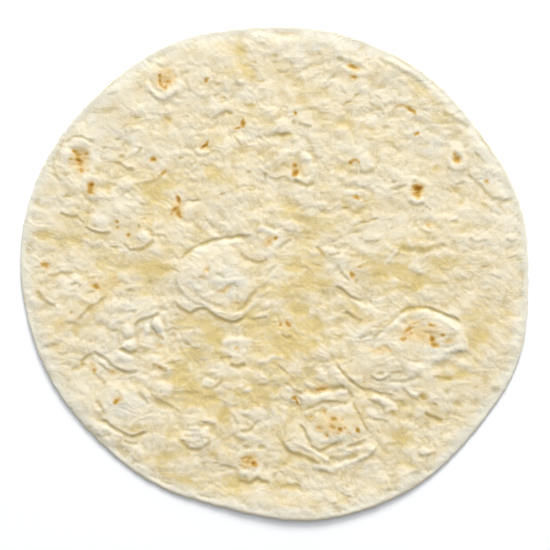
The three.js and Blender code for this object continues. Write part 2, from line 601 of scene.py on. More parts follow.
@dataclass(frozen=True)
class DoughGrain:
    """Puffed dough and the thin flats between: lumps lying long and aslant, rounder flakes and crumbs."""

    slant: float = -14.0
    stretch: float = 1.5
    swell: float = 30.0
    swell_height: float = 0.5
    swell_layers: int = 2
    flat: float = 13.0
    flat_depth: float = 0.16
    flat_mean: float = 0.26
    flat_swing: float = 0.55
    flat_layers: int = 4
    flat_span: Span = (0.25, 1.0)
    flat_calm: float = 0.4
    lump: float = 7.5
    lump_height: float = 0.45
    flake: float = 3.2
    flake_height: float = 0.135
    flake_stretch: float = 1.1
    crumb: float = 1.9
    crumb_height: float = 0.085
    patchy: float = 22.0
    patchy_swing: float = 0.4
    pale_top: float = 0.12
    pale_rim: float = 0.22
    pale_from: float = 0.35
    thin_ease: float = 0.3
    thin_span: Span = (-0.6, 1.0)

    def press(self, face: DoughFace) -> None:
        """Sink the thin flats and add swells, lumps, flakes and crumbs, smaller on the flats.

        Args:
            face: the face that is worked out, with its thin places in.
        """
        turn = math.radians(self.slant)
        along = (face.ragged_x * math.cos(turn) + face.ragged_y * math.sin(turn)) / self.stretch
        across = face.ragged_y * math.cos(turn) - face.ragged_x * math.sin(turn)
        flats = NOISE.layered(along, across, self.flat, self.flat_layers)
        spread = self.flat_mean + self.flat_swing * flats + face.thin
        flat = ramp(*self.flat_span, spread)
        lump = 0.5 * (NOISE.puffed(along, across, self.lump) + NOISE.smooth(across, along, self.lump))
        flake = NOISE.puffed(face.ragged_x / self.flake_stretch, face.ragged_y, self.flake)
        crumb = NOISE.puffed(face.ragged_y, face.ragged_x, self.crumb)
        grain = self.lump_height * lump + self.flake_height * flake + self.crumb_height * crumb
        thin = spread / (1.0 + self.thin_ease * np.maximum(spread, 0.0))
        up = face.y / PHOTO.half()
        out = (face.x ** 2 + face.y ** 2) / PHOTO.half() ** 2
        pale = self.pale_top * up + self.pale_rim * (out - self.pale_from)
        face.thin = np.clip(thin - pale, *self.thin_span)
        face.height += self.swell_height * NOISE.layered(face.x, face.y, self.swell, self.swell_layers)
        uneven = 1.0 + self.patchy_swing * NOISE.smooth(face.x, face.y, self.patchy)
        share = uneven * (1.0 - self.flat_calm * flat) * (1.0 - face.smooth)
        face.height += grain * share - self.flat_depth * flat


@dataclass(frozen=True)
class UpperFace:
    """What the photo shows on the upper face."""

    grain: DoughGrain = DoughGrain()

    pillows: tuple[Pillow, ...] = (
        # The large pillows: middle, right, square and lower left
        Pillow((219, 279), (47, 42), 8, rise=0.9, corner=2.4),
        Pillow((421, 342), (51, 30), 12, rise=0.7, corner=2.2),
        Pillow((334, 424), (31, 20), 10, rise=0.7, corner=4.0),
        Pillow((128, 402), (36, 24), -32, rise=0.8),
        # Bubbles and lumps on the left
        Pillow((128.5, 331), (7, 7.5), 0, rise=0.7, calm=0.7),
        Pillow((129.5, 344.5), (8.5, 6), 0, rise=0.7, calm=0.7),
        Pillow((146.5, 329.5), (5, 7), -10, rise=0.6, calm=0.7),
        Pillow((159, 325), (11, 5.5), -55, rise=0.7, calm=0.7),
        Pillow((165, 388), (13, 8), -30, rise=0.5), Pillow((152, 357), (13, 4), 0, rise=0.25),
        Pillow((126, 358), (12, 7), -15, rise=0.35), Pillow((143, 235), (9, 7), 0, rise=0.45),
        Pillow((75, 286), (17, 15), 0, rise=0.3), Pillow((103, 220), (12, 7), -20, rise=0.28, calm=0.1),
        Pillow((81, 144), (11, 6), 0, rise=0.28),
        # Bubbles in the middle and along the bottom
        Pillow((266, 230), (11, 5), -15, rise=0.35), Pillow((196, 435), (17, 14), 0, rise=0.5, calm=0.1),
        Pillow((238, 346), (16, 12), -10, rise=0.3), Pillow((221, 370), (17, 10), 0, rise=0.35),
        Pillow((209, 381), (7, 4.5), -10, rise=0.35), Pillow((248, 390), (5.5, 3), 0, rise=0.3),
        Pillow((290, 388), (7, 4), -20, rise=0.3), Pillow((250, 462), (18, 17), 0, rise=0.45),
        # Bubbles above and on the right
        Pillow((166, 80), (16, 17), 0, rise=0.35), Pillow((307, 158), (9, 6), -20, rise=0.5),
        Pillow((353, 193), (13, 4), 0, rise=0.3), Pillow((363, 161), (13, 8), 0, rise=0.35),
        Pillow((407, 99.5), (9, 3), 0, rise=0.35), Pillow((402, 111), (7, 3), -10, rise=0.3),
        Pillow((394, 385.5), (9, 4), -5, rise=0.45), Pillow((414, 393.5), (6, 3), -25, rise=0.35),
        Pillow((424, 450), (6, 4), 0, rise=0.35), Pillow((371, 412), (9, 4.5), -8, rise=0.35),
    )

    ridges: tuple[Ridge, ...] = (
        # Middle pillow: under its top crease, across it and round its lower side
        Ridge(((190, 256), (203, 249.5), (216, 244), (230, 242), (244, 242)), 0.35, 2.2),
        Ridge(((209, 280), (222, 281), (235, 280), (249, 281.5)), 0.4, 1.4),
        Ridge(((179, 299), (188, 304), (197, 304.5), (205, 304), (215, 309), (225, 313.5), (233, 315.5),
               (241, 313), (249, 308), (256, 301.5), (263, 295)), 0.4, 1.4),
        Ridge(((179, 275), (187, 284), (195, 292), (204, 298)), 0.25, 0.8),
        Ridge(((188, 277), (196, 286), (205, 292), (214, 297)), 0.25, 0.8),
        # The knob on its right and the rings below
        Ridge(((258, 228), (268, 231.5), (279, 233)), 0.3, 1.4),
        Ridge(((257, 250), (266, 255), (273, 251.5), (277, 244), (285, 237.5)), 0.4, 1.3),
        Ridge(((221, 345), (231, 339.5), (243, 340), (254, 343)), 0.5, 1.7),
        Ridge(((221, 349.5), (231, 354), (240, 356), (247, 350)), 0.4, 0.9),
        Ridge(((257, 363), (267, 360), (276, 357), (285, 358.5)), 0.4, 1.2),
        Ridge(((236, 411), (250, 412.5), (268, 412)), 0.35, 1.3),
        Ridge(((236, 436), (248, 437), (260, 440), (271, 444)), 0.35, 1.3),
        # Right pillow: the two lids of an eye, and a ridge outside the upper one
        Ridge(((377, 337), (388, 328.5), (398, 319.5), (410, 313.5), (422, 312.5), (434, 316),
               (445, 322.5), (456, 329), (468, 335)), 0.65, 2.0),
        Ridge(((468, 338), (457, 347), (445, 353.5), (432, 360), (420, 366), (404, 372)), 0.7, 2.8),
        Ridge(((354, 338), (365, 328.5), (377, 322), (389, 313.5)), 0.4, 1.4),
        # Square blister: above it, round it and below it
        Ridge(((299, 398), (312, 397), (325, 395.5), (338, 393), (349, 391)), 0.6, 1.9),
        Ridge(((303, 413), (312, 409), (322, 405.5), (335, 408), (347, 405.5), (353, 403)), 0.45, 1.0),
        Ridge(((296, 441), (305, 447), (314, 451.5), (322, 456.5), (329, 461)), 0.5, 1.2),
        Ridge(((322, 451.5), (335, 449.5), (345, 446), (352, 439.5)), 0.45, 1.0),
        Ridge(((344, 452), (355, 448.5), (368, 446)), 0.4, 1.0),
        Ridge(((311, 463), (321, 467), (332, 468), (342, 464), (354, 460), (364, 456), (370, 451.5),
               (376, 446)), 0.55, 1.1),
        Ridge(((313, 437), (322, 440), (334, 439.5), (347, 436)), 0.3, 1.2),
        Ridge(((371, 396), (381, 399.5), (390, 404), (398, 409)), 0.55, 1.2),
        Ridge(((338, 381), (350, 378), (363, 380)), 0.3, 1.2),
        # Lower left
        Ridge(((92, 353.5), (100, 359), (108, 364.5), (116, 369)), 0.4, 0.8),
        Ridge(((106, 413), (113, 418.5), (122, 423.5), (133, 427)), 0.35, 1.7),
        Ridge(((98, 425.5), (107, 429), (116, 433.5), (125, 438)), 0.4, 1.1),
        Ridge(((120, 443), (131, 447), (144, 448.5)), 0.4, 1.3),
        Ridge(((121, 391), (130, 396), (140, 401)), 0.45, 1.0),
        Ridge(((126, 373), (137, 375), (149, 381)), 0.3, 1.2),
        Ridge(((110, 324), (121, 319), (134, 314)), 0.3, 1.2),
        Ridge(((52, 296), (62, 292), (70, 297)), 0.25, 1.3),
        # Burst blisters: the bright lip under each
        Ridge(((240, 469), (247, 474), (254, 474), (260, 469)), 0.8, 1.6),
        Ridge(((148, 82), (150.5, 89), (155, 94), (161, 96.3), (168, 95.5), (174, 92), (178, 86),
               (179.5, 79)), 0.5, 1.7),
        Ridge(((258, 168.5), (267, 166), (274, 161), (281, 155), (290, 151.5)), 0.4, 1.1),
        Ridge(((287, 170), (294, 176.5), (302, 180), (310, 178.5), (317, 173)), 0.5, 1.1),
        Ridge(((196, 149), (201, 153.5), (208, 152.5)), 0.35, 1.0),
        Ridge(((409, 196), (413, 200.5), (418, 201.5), (424, 198)), 0.35, 1.0),
        Ridge(((450, 164.5), (456, 167), (463, 164.5)), 0.3, 1.0),
        # Right of the middle
        Ridge(((350, 299), (357, 303), (365, 309)), 0.35, 0.9),
        Ridge(((384, 262.5), (389, 260.5), (393, 256), (396, 250)), 0.35, 0.9),
        Ridge(((408, 265), (417, 270), (427, 275)), 0.35, 1.4),
    )

    # Creases, each with painted shade along it
    folds: tuple[Fold, ...] = (
        # Middle pillow: top and bottom creases
        Fold(((180, 259.5), (187, 252), (200, 244.7), (208, 241), (220, 238.2), (232, 237.4),
              (242, 235.6), (253, 235)), 0.45, 0.05, painted_shade=0.7),
        Fold(((172, 299), (178, 305), (184, 309.7), (190, 312.2), (197, 309), (205, 308.3), (212, 312.5),
              (220, 317.5), (228, 321), (234, 322.2), (241, 319.3), (249, 316.7)), 0.2, 0.28, painted_shade=0.75),
        Fold(((247, 317), (256, 318.7), (268, 316)), 0.15, 0.2, painted_shade=0.5),
        # Middle pillow: wrinkles along its lower side, and the knob on its right
        Fold(((176, 278), (179, 288), (186, 296.5), (195, 302), (205, 305)),
             0.18, 0.2, painted_shade=0.45, reach=1.8),
        Fold(((194, 289), (201, 296.5), (211, 302.5), (223, 306)), 0.18, 0.2, painted_shade=0.4, reach=1.6),
        Fold(((236, 310.5), (243, 307), (248, 299), (252, 294), (258, 290)), 0.25, 0.0, painted_shade=0.4),
        Fold(((239, 251), (246, 257), (252, 260.5)), 0.1, 0.15, painted_shade=0.3),
        Fold(((250, 259.5), (255, 261.5), (260, 262), (267, 259)), 0.2, 0.15, painted_shade=0.65, width=0.9),
        Fold(((159, 266), (166, 268.5), (174, 269), (181, 274)), 0.1, 0.15, painted_shade=0.35),
        Fold(((264, 275), (270, 271), (276, 265)), 0.15, 0.1, painted_shade=0.35),
        Fold(((279, 248), (284, 243), (291, 239)), 0.2, 0.1, painted_shade=0.45),
        # Rings below the middle pillow
        Fold(((219, 357), (226, 357.3), (233, 356.5)), 0.2, 0.1, painted_shade=0.55),
        Fold(((230, 363.5), (238, 365.3), (246, 363)), 0.3, 0.2, painted_shade=0.8, width=1.0),
        Fold(((282, 333), (286, 337), (292, 335)), 0.15, 0.2, painted_shade=0.6),
        Fold(((271, 362.5), (278, 364), (284, 369), (289, 374)), 0.1, 0.2, painted_shade=0.3),
        Fold(((201, 384.5), (206, 387), (212, 387.5), (218, 384), (221, 380)), 0.1, 0.3, painted_shade=0.5),
        Fold(((203, 373.5), (209, 373.5), (216, 372)), 0.1, 0.2, painted_shade=0.4),
        Fold(((229, 410), (234, 416), (239, 425)), 0.1, 0.15, painted_shade=0.3),
        Fold(((257, 384), (262, 384.7), (269, 384.5)), 0.1, 0.2, painted_shade=0.5),
        # Right pillow: top, left, hollow and lower edge
        Fold(((372, 339), (379, 332), (388, 324), (399, 314)), 0.25, 0.0, painted_shade=0.4),
        Fold(((396, 315.5), (405, 309.7), (414, 307), (424, 307), (434, 309.5), (445, 314), (455, 317.8),
              (460, 323)), 0.45, 0.05, painted_shade=0.7),
        Fold(((358, 338), (364, 335), (372, 331)), 0.2, 0.0, painted_shade=0.4),
        Fold(((376, 320), (381, 317.5), (386, 314.5)), 0.15, 0.0, painted_shade=0.35),
        Fold(((345, 311), (351, 314), (357, 318), (363, 320)), 0.2, 0.25, painted_shade=0.7, width=1.0),
        Fold(((449, 352.7), (456, 352.2), (463, 350)), 0.15, 0.1, painted_shade=0.4),
        Fold(((388, 380.3), (400, 380.6), (408, 379), (420, 374)), 0.15, 0.3, painted_shade=0.55, width=1.0),
        Fold(((431, 376.5), (441, 377), (453, 378.5)), 0.15, 0.15, painted_shade=0.5),
        Fold(((402, 355), (409, 359.5), (417, 361)), 0.15, 0.1, painted_shade=0.35),
        Fold(((388, 372.7), (394, 372), (401, 371)), 0.1, 0.2, painted_shade=0.5),
        Fold(((370, 375), (376, 379), (381, 379.7), (386, 377.3), (392, 375)), 0.15, 0.3, painted_shade=0.65),
        # Long crease between the square blister and the right pillow, and the ridges under it
        Fold(((336, 361), (341, 370), (347, 376.5), (354, 382), (364, 388.7), (371, 389.2), (377, 391.5),
              (384, 393.7), (398, 395)), 0.4, 0.1, painted_shade=0.6),
        Fold(((366, 397.5), (373, 400.7), (380, 404.5), (387, 408)), 0.15, 0.2, painted_shade=0.5, width=1.0),
        Fold(((372, 418.5), (377, 419), (382, 420), (390, 422)), 0.15, 0.1, painted_shade=0.55),
        Fold(((402, 387), (407, 392), (412, 397.5), (420, 399.5)), 0.1, 0.3, painted_shade=0.45),
        Fold(((424, 411.5), (430, 414.5), (436, 417.5), (444, 421)), 0.2, 0.25, painted_shade=0.75, width=1.0),
        Fold(((418, 452), (423, 455.5), (429, 454), (436, 451.5)), 0.1, 0.3, painted_shade=0.55),
        # Square blister: smear above it, lines over its top, right, left and bottom
        Fold(((308, 391), (315, 390), (323, 388), (333, 386.7), (347, 386)),
             0.5, 0.15, painted_shade=0.6, width=1.3),
        Fold(((284, 381), (290, 385), (295, 389.5), (303, 392.5)), 0.1, 0.3, painted_shade=0.5),
        Fold(((303, 409.7), (312, 406), (320, 402.5), (328, 400.8), (338, 401.5), (350, 401)),
             0.25, 0.1, painted_shade=0.6),
        Fold(((329, 405.8), (337, 405.8), (346, 403)), 0.1, 0.1, painted_shade=0.45),
        Fold(((347, 387), (350, 392), (354, 398)), 0.25, 0.0, painted_shade=0.45),
        Fold(((353, 402), (357, 408.5), (361, 418), (365, 425.5), (369, 431)),
             0.25, 0.0, painted_shade=0.5, width=0.55),
        Fold(((301, 423), (305, 429), (308, 436.5), (311, 443)), 0.35, 0.0, painted_shade=0.5),
        Fold(((310, 443.5), (315, 448), (321, 449.6), (327, 446.7), (333, 444.7), (340, 441.5)),
             0.25, 0.2, painted_shade=0.65),
        # Folds below the square blister
        Fold(((346, 446.5), (353, 444.5), (360, 441.5), (367, 438)), 0.15, 0.2, painted_shade=0.6),
        Fold(((328, 456), (337, 457.8), (345, 457), (353, 454.8), (359, 454)),
             0.25, 0.1, painted_shade=0.55, width=1.1),
        Fold(((280, 439), (285, 446), (291, 451.5), (300, 453.7), (309, 457.3), (315, 461), (321, 463.7)),
             0.15, 0.3, painted_shade=0.75, width=1.0),
        Fold(((317, 468.7), (324, 471.5), (331, 473), (339, 472)), 0.15, 0.2, painted_shade=0.65),
        Fold(((359, 460.5), (367, 457.5), (373, 452.5), (377, 446.5)), 0.1, 0.2, painted_shade=0.4),
        Fold(((279, 487.7), (286, 485), (293, 484.3), (301, 485.5)), 0.15, 0.15, painted_shade=0.35),
        # Lower left pillow and the grooves beside it
        Fold(((100, 417.5), (107, 421.5), (113, 426), (119, 430), (126, 433.7), (133, 435), (141, 433.3),
              (149, 431)), 0.3, 0.35, painted_shade=0.75, width=0.75),
        Fold(((97, 400), (101, 405), (105, 411.5)), 0.25, 0.0, painted_shade=0.45),
        Fold(((91, 350.5), (100, 355), (107, 359.7), (113, 364.5), (118, 368), (124, 370.5), (131, 371.7),
              (139, 370)), 0.25, 0.3, painted_shade=0.7),
        Fold(((97, 361), (103, 366), (109, 370), (114, 373)), 0.2, 0.1, painted_shade=0.6),
        Fold(((80, 363), (85, 357), (89, 354), (93, 354.5)), 0.25, 0.0, painted_shade=0.5),
        Fold(((94, 372), (99, 376.5), (106, 380)), 0.1, 0.15, painted_shade=0.3),
        Fold(((117, 389), (121, 396), (119, 402)), 0.15, 0.0, painted_shade=0.4),
        Fold(((138, 391), (144, 397), (149, 403.5)), 0.25, 0.0, painted_shade=0.4),
        Fold(((151, 392.5), (157, 398), (164, 402.3), (171, 405.7), (181, 411.5)),
             0.1, 0.25, painted_shade=0.5, width=0.8),
        Fold(((124, 440), (131, 442.7), (139, 443)), 0.2, 0.15, painted_shade=0.5),
        Fold(((95, 433.5), (103, 435.5), (112, 434)), 0.1, 0.1, painted_shade=0.45),
        # Bubbles above the lower left pillow
        Fold(((120, 347), (126, 350.7), (131, 351.7), (138, 349.5)), 0.25, 0.35, painted_shade=0.85, width=0.9),
        Fold(((119, 345), (117.5, 337), (119, 329)), 0.2, 0.0, painted_shade=0.25),
        Fold(((134, 326), (140, 320), (147, 317.3), (154, 315.3), (161, 311.5)),
             0.25, 0.2, painted_shade=0.7, width=0.8),
        Fold(((151, 323.5), (155, 331), (159, 336), (165, 339.5)), 0.2, 0.3, painted_shade=0.6),
        Fold(((137, 346.5), (144, 347.7), (152, 349.5)), 0.1, 0.25, painted_shade=0.5),
        Fold(((153, 364.5), (159, 366.5), (167, 370.5)), 0.2, 0.25, painted_shade=0.8, width=1.1),
        Fold(((165, 362.7), (173, 361.7), (182, 359.5)), 0.1, 0.2, painted_shade=0.45),
        Fold(((126, 311.7), (132, 310.7), (138, 308.5)), 0.1, 0.15, painted_shade=0.35),
        # Left side
        Fold(((77, 321), (82, 316), (88, 308.5), (94, 304.7), (100, 300.5), (107, 295)),
             0.15, 0.2, painted_shade=0.5),
        Fold(((42, 347), (46, 345), (50, 343.5), (57, 345)), 0.1, 0.2, painted_shade=0.35),
        Fold(((57, 352), (62, 353), (69, 352.5)), 0.1, 0.2, painted_shade=0.35),
        Fold(((37, 290), (42, 297.5), (48, 302.3), (57, 305.5)), 0.15, 0.3, painted_shade=0.6, width=0.9),
        Fold(((48, 274.7), (57, 274), (66, 272), (76, 274)), 0.15, 0.1, painted_shade=0.45),
        Fold(((71, 284.3), (76, 283.3), (82, 286)), 0.2, 0.05, painted_shade=0.65),
        Fold(((60, 212), (66, 215.3), (73, 216.5), (80, 214.5)), 0.2, 0.3, painted_shade=0.6),
        Fold(((79, 218.5), (82, 221), (86, 223.5)), 0.1, 0.2, painted_shade=0.4),
        Fold(((85, 226), (91, 229.5), (98, 232.3), (104, 233.2), (112, 231.5)), 0.15, 0.35, painted_shade=0.7),
        Fold(((131, 249), (138, 249.5), (144, 247.5), (149, 244), (154, 239)),
             0.2, 0.3, painted_shade=0.7, width=0.9),
        Fold(((124, 242.5), (128, 247.5), (133, 251.5)), 0.2, 0.05, painted_shade=0.5),
        Fold(((150, 228), (155, 235), (166, 235.5)), 0.1, 0.15, painted_shade=0.45),
        # Bubble at the bottom left and the burst blister beside it
        Fold(((180, 439), (185, 444), (190, 447.7), (195, 449.2), (200, 448), (205, 444.5), (212, 438.5)),
             0.15, 0.15, painted_shade=0.55),
        Fold(((186, 424.5), (195, 423.3), (205, 425.3)), 0.15, 0.15, painted_shade=0.4),
        Fold(((183, 434.5), (190, 435.3), (198, 434)), 0.15, 0.1, painted_shade=0.35),
        Fold(((189, 441.5), (196, 442), (203, 439.5)), 0.1, 0.1, painted_shade=0.25),
        Fold(((183, 427.8), (191, 429.6), (202, 430.3)), 0.15, 0.1, painted_shade=0.4),
        Fold(((202, 421.7), (209, 423), (216, 425.3)), 0.2, 0.2, painted_shade=0.6),
        Fold(((199, 434), (204, 437), (211, 438)), 0.15, 0.1, painted_shade=0.4),
        Fold(((239, 430.5), (248, 430), (252, 427), (255, 422.5), (262, 419.5)), 0.15, 0.2, painted_shade=0.5),
        Fold(((237, 479), (243, 480.7), (249, 482), (254, 479), (258, 477.5), (263, 480.7), (272, 481.5)),
             0.2, 0.3, painted_shade=0.6, width=0.9),
        Fold(((218, 464.5), (228, 465.7), (237, 468)), 0.15, 0.2, painted_shade=0.5),
        Fold(((239, 464), (244, 466), (250, 467.7)), 0.15, 0.2, painted_shade=0.65),
        # Upper left
        Fold(((149, 91), (154, 96.5), (161, 99.7), (168, 99), (174, 95.3), (179, 90)),
             0.12, 0.1, painted_shade=0.45),
        Fold(((150, 78), (153, 83), (157, 87)), 0.15, 0.0, painted_shade=0.4),
        Fold(((66, 141.5), (74, 137), (82, 136.6), (88, 139.7), (96, 141.3)), 0.3, 0.0, painted_shade=0.55),
        Fold(((55, 156), (54, 168), (57, 177), (63, 181.5)), 0.12, 0.0, painted_shade=0.35),
        Fold(((119, 161), (123, 165), (128, 168.7), (136, 168.5)), 0.15, 0.25, painted_shade=0.5),
        Fold(((133, 184.5), (146, 182.7), (155, 180), (163, 176)), 0.1, 0.3, painted_shade=0.5),
        Fold(((106, 94), (112, 93.7), (119, 91.5)), 0.1, 0.1, painted_shade=0.35),
        # Top
        Fold(((211, 119.5), (219, 114.5), (226, 112), (234, 111.5)), 0.15, 0.2, painted_shade=0.5),
        Fold(((276, 71), (283, 71.5), (291, 70)), 0.1, 0.15, painted_shade=0.45),
        Fold(((298, 123), (304, 124.8), (312, 126)), 0.15, 0.2, painted_shade=0.6),
        Fold(((268, 177), (276, 179), (284, 177), (291, 182)), 0.15, 0.1, painted_shade=0.5),
        Fold(((294, 178), (300, 182.7), (307, 185), (314, 181.5)), 0.2, 0.15, painted_shade=0.75, width=1.0),
        Fold(((194, 151), (200, 156), (207, 155), (212, 150)), 0.1, 0.1, painted_shade=0.4),
        # Upper right
        Fold(((376, 57), (388, 63.5), (399, 69.5), (408, 74), (418, 80.5), (429, 92)),
             0.15, 0.0, painted_shade=0.5, width=1.1),
        Fold(((442, 111.5), (451, 115.5), (460, 122), (469, 128)), 0.15, 0.0, painted_shade=0.5, width=1.0),
        Fold(((359, 170.5), (366, 172.3), (374, 169)), 0.15, 0.2, painted_shade=0.7, width=1.1),
        Fold(((408, 200.5), (412, 204), (417, 205.3), (425, 202.5)), 0.1, 0.1, painted_shade=0.45),
        Fold(((447, 167), (453, 170.3), (459, 170.7), (467, 168)), 0.1, 0.1, painted_shade=0.4),
        Fold(((465, 172.5), (473, 178), (480, 184.5), (487, 193), (493, 198), (503, 199.3), (511, 200)),
             0.2, 0.05, painted_shade=0.5),
        Fold(((481, 202.5), (490, 209), (501, 216)), 0.15, 0.1, painted_shade=0.35),
        Fold(((366, 100.5), (375, 106.5), (381, 109), (385, 115.5)), 0.15, 0.15, painted_shade=0.4),
        Fold(((384, 140.7), (391, 142.7), (397, 148), (402, 152.5)), 0.15, 0.0, painted_shade=0.4),
        Fold(((390, 188.3), (397, 187.5), (406, 184.5)), 0.1, 0.2, painted_shade=0.5),
        # Right of the middle
        Fold(((337, 264), (341, 271), (345, 276.5), (350, 281)), 0.15, 0.05, painted_shade=0.45),
        Fold(((335, 286), (342, 288.7), (348, 293), (354, 298), (364, 300.5)), 0.15, 0.25, painted_shade=0.6),
        Fold(((363, 240.7), (371, 241.5), (380, 240)), 0.15, 0.2, painted_shade=0.6),
        Fold(((327, 255), (334, 254), (340, 252)), 0.15, 0.1, painted_shade=0.6),
        Fold(((344, 252.5), (351, 255), (361, 256)), 0.1, 0.1, painted_shade=0.35),
        Fold(((399, 247), (412, 248.7), (424, 249.7), (434, 247), (448, 243.5)),
             0.15, 0.1, painted_shade=0.5, width=1.2),
        Fold(((417, 227.5), (424, 231), (432, 234)), 0.1, 0.15, painted_shade=0.5),
        Fold(((468, 238), (477, 241.5), (487, 240)), 0.1, 0.25, painted_shade=0.4),
        Fold(((505, 239), (511, 241.5), (517, 239)), 0.1, 0.2, painted_shade=0.4),
        Fold(((327, 503.5), (331, 503.5), (337, 501.5)), 0.1, 0.2, painted_shade=0.35),
    )

    # Small hollows, each darkened by painted shade
    dimples: tuple[Dimple, ...] = (
        # Square blister and below it
        Dimple((311, 418.3), (3.8, 2.2), 0, 1.0), Dimple((323.5, 411.8), (2.8, 2.5), 0, 0.9),
        Dimple((319.3, 428), (3, 2.9), 0, 1.0), Dimple((332, 426.3), (4, 2), 0, 0.9),
        Dimple((327, 434.6), (2.8, 1.8), 0, 0.9), Dimple((345.5, 427.2), (2, 1.8), 0, 0.5),
        Dimple((321, 388.7), (12, 3), 8, 0.95), Dimple((339, 386.7), (8, 1.4), 6, 0.6),
        Dimple((345.5, 485.5), (4, 1.6), 0, 0.6), Dimple((348, 497), (2.5, 1.5), 0, 0.5),
        Dimple((338.5, 512), (2.5, 1.5), 0, 0.5), Dimple((274, 475), (2.5, 1.5), 0, 0.5),
        Dimple((389, 490), (6, 1.6), 0, 0.6), Dimple((416, 473), (5, 2.2), 0, 0.6),
        # Lower right
        Dimple((380, 373), (3, 1.5), 0, 0.9), Dimple((448, 345), (7, 1.8), 15, 0.5),
        Dimple((422, 396.3), (4, 2), -10, 0.95), Dimple((392, 412.7), (4.6, 2), -8, 0.95),
        Dimple((434, 404.5), (2.6, 1.5), 0, 0.7), Dimple((446, 391), (3.5, 3), 0, 0.5),
        Dimple((458, 404), (4, 3.5), 0, 0.45), Dimple((410, 415.5), (2.6, 1.8), 0, 0.5),
        Dimple((403, 402.5), (4, 2.5), 0, 0.45), Dimple((475, 402), (3.5, 3), 0, 0.4),
        Dimple((476, 387.5), (2, 1.5), 0, 0.4), Dimple((495, 388.5), (4.5, 3.5), 0, 0.65),
        Dimple((486, 380), (3, 7), 0, 0.3), Dimple((393, 444), (9, 1.5), 0, 0.45),
        Dimple((377.5, 432), (2.6, 1), -50, 0.7), Dimple((448, 378), (4, 1.8), 0, 0.6),
        # Lower middle and left
        Dimple((193, 392), (6, 1.6), 0, 0.4), Dimple((210, 398.3), (6, 1.6), 12, 0.45),
        Dimple((187, 343), (4, 1.3), -25, 0.6), Dimple((196, 348.5), (5, 1.2), 0, 0.6),
        Dimple((278, 386), (2.5, 2), 0, 0.5), Dimple((245, 415.3), (3, 1.4), 0, 0.7),
        Dimple((262, 446), (2.8, 2), 0, 0.8), Dimple((247, 446), (2.5, 1.8), 0, 0.5),
        Dimple((225, 410.5), (3.5, 4), 0, 0.4), Dimple((204, 465), (4, 1.6), -30, 0.5),
        Dimple((285, 464), (2.6, 1.8), 0, 0.6), Dimple((116, 330), (3.4, 1.5), 0, 0.85),
        Dimple((105, 382.7), (1.8, 1.3), 0, 0.7), Dimple((83, 365), (3, 1.3), 0, 0.8),
        Dimple((76, 367.5), (4, 2.5), 20, 0.5), Dimple((89, 427), (3, 2), 0, 0.5),
        Dimple((71.5, 323), (5, 1.7), 0, 0.6), Dimple((71, 312.3), (2, 1.2), 0, 0.8),
        Dimple((130.5, 290.3), (4, 1.8), -15, 0.85), Dimple((150, 282.7), (3.4, 2.4), 0, 0.5),
        Dimple((74, 292), (4, 1.2), 0, 0.4), Dimple((94, 292.5), (4, 1), 0, 0.45),
        Dimple((156.5, 235.5), (3.4, 1.6), 0, 0.9), Dimple((143.5, 219), (3, 1.3), 0, 0.75),
        Dimple((139.5, 226.5), (2, 1.3), 0, 0.6), Dimple((95, 225.7), (3, 1), 0, 0.6),
        Dimple((115, 247.5), (3.4, 1.2), 0, 0.6), Dimple((87.5, 213.3), (2, 1.4), 0, 0.6),
        Dimple((59, 267.3), (4, 1), 0, 0.5), Dimple((36.5, 267.5), (4.5, 1.1), 8, 0.6),
        # Middle pillow
        Dimple((206.7, 269.8), (3.8, 1.5), 35, 0.9), Dimple((202.5, 277.8), (4, 1.2), -10, 0.65),
        Dimple((219.5, 275.5), (5.5, 1.2), -35, 0.6), Dimple((221.5, 291.5), (3.4, 1.5), 15, 0.9),
        Dimple((228, 288.3), (4, 1.3), 35, 0.85), Dimple((235, 285.5), (4.4, 1.3), -12, 0.7),
        Dimple((237.7, 305.2), (2, 1.7), 0, 0.7), Dimple((237, 297.5), (1, 2.6), 20, 0.5),
        # Upper left
        Dimple((66, 195.3), (3.6, 1.4), 0, 0.85), Dimple((66, 173.7), (4.5, 1.6), -10, 0.6),
        Dimple((121, 157), (3, 1.2), 0, 0.6), Dimple((116, 163.5), (5, 1.4), 0, 0.6),
        Dimple((118, 139.7), (2.2, 1.5), 0, 0.7), Dimple((105, 146.5), (2.6, 1.5), 0, 0.5),
        Dimple((140, 151), (3.4, 1.4), 35, 0.75), Dimple((182, 158), (3.2, 1.4), 0, 0.85),
        Dimple((161, 157.5), (4, 1), 0, 0.4), Dimple((144, 204), (5, 1.4), 0, 0.5),
        Dimple((167, 119.5), (3.6, 2), -15, 0.55), Dimple((125, 126.5), (5, 1.5), 35, 0.4),
        Dimple((108, 110.5), (8, 2), 5, 0.35), Dimple((195, 200), (5, 1.2), 0, 0.8),
        # Top
        Dimple((218, 83.7), (4, 1.3), -8, 0.75), Dimple((238, 85.5), (4, 1.5), 0, 0.35),
        Dimple((260, 81.5), (4, 1.3), 8, 0.65), Dimple((274.5, 62), (2.4, 1.1), 0, 0.8),
        Dimple((274, 55.6), (4, 1), -5, 0.7), Dimple((253, 62.5), (3.6, 1.2), -25, 0.5),
        Dimple((303, 68.7), (3, 1), 0, 0.5), Dimple((218, 94.5), (2.6, 1.2), 0, 0.6),
        Dimple((224, 98.5), (2, 1.3), 0, 0.7), Dimple((221, 102.8), (3.6, 1.1), 0, 0.5),
        Dimple((230, 113), (2.4, 1.3), 0, 0.8), Dimple((250.5, 106.2), (6, 1.3), 0, 0.7),
        Dimple((283.5, 135), (6.4, 1.9), 0, 0.95), Dimple((277, 114.5), (4.5, 3.5), 0, 0.4),
        Dimple((293, 122.5), (2, 2.4), 0, 0.5), Dimple((327, 114.5), (8, 1.2), -8, 0.5),
        Dimple((204, 165.5), (5, 1.2), -15, 0.6), Dimple((236.5, 140.5), (3.6, 1.2), -45, 0.65),
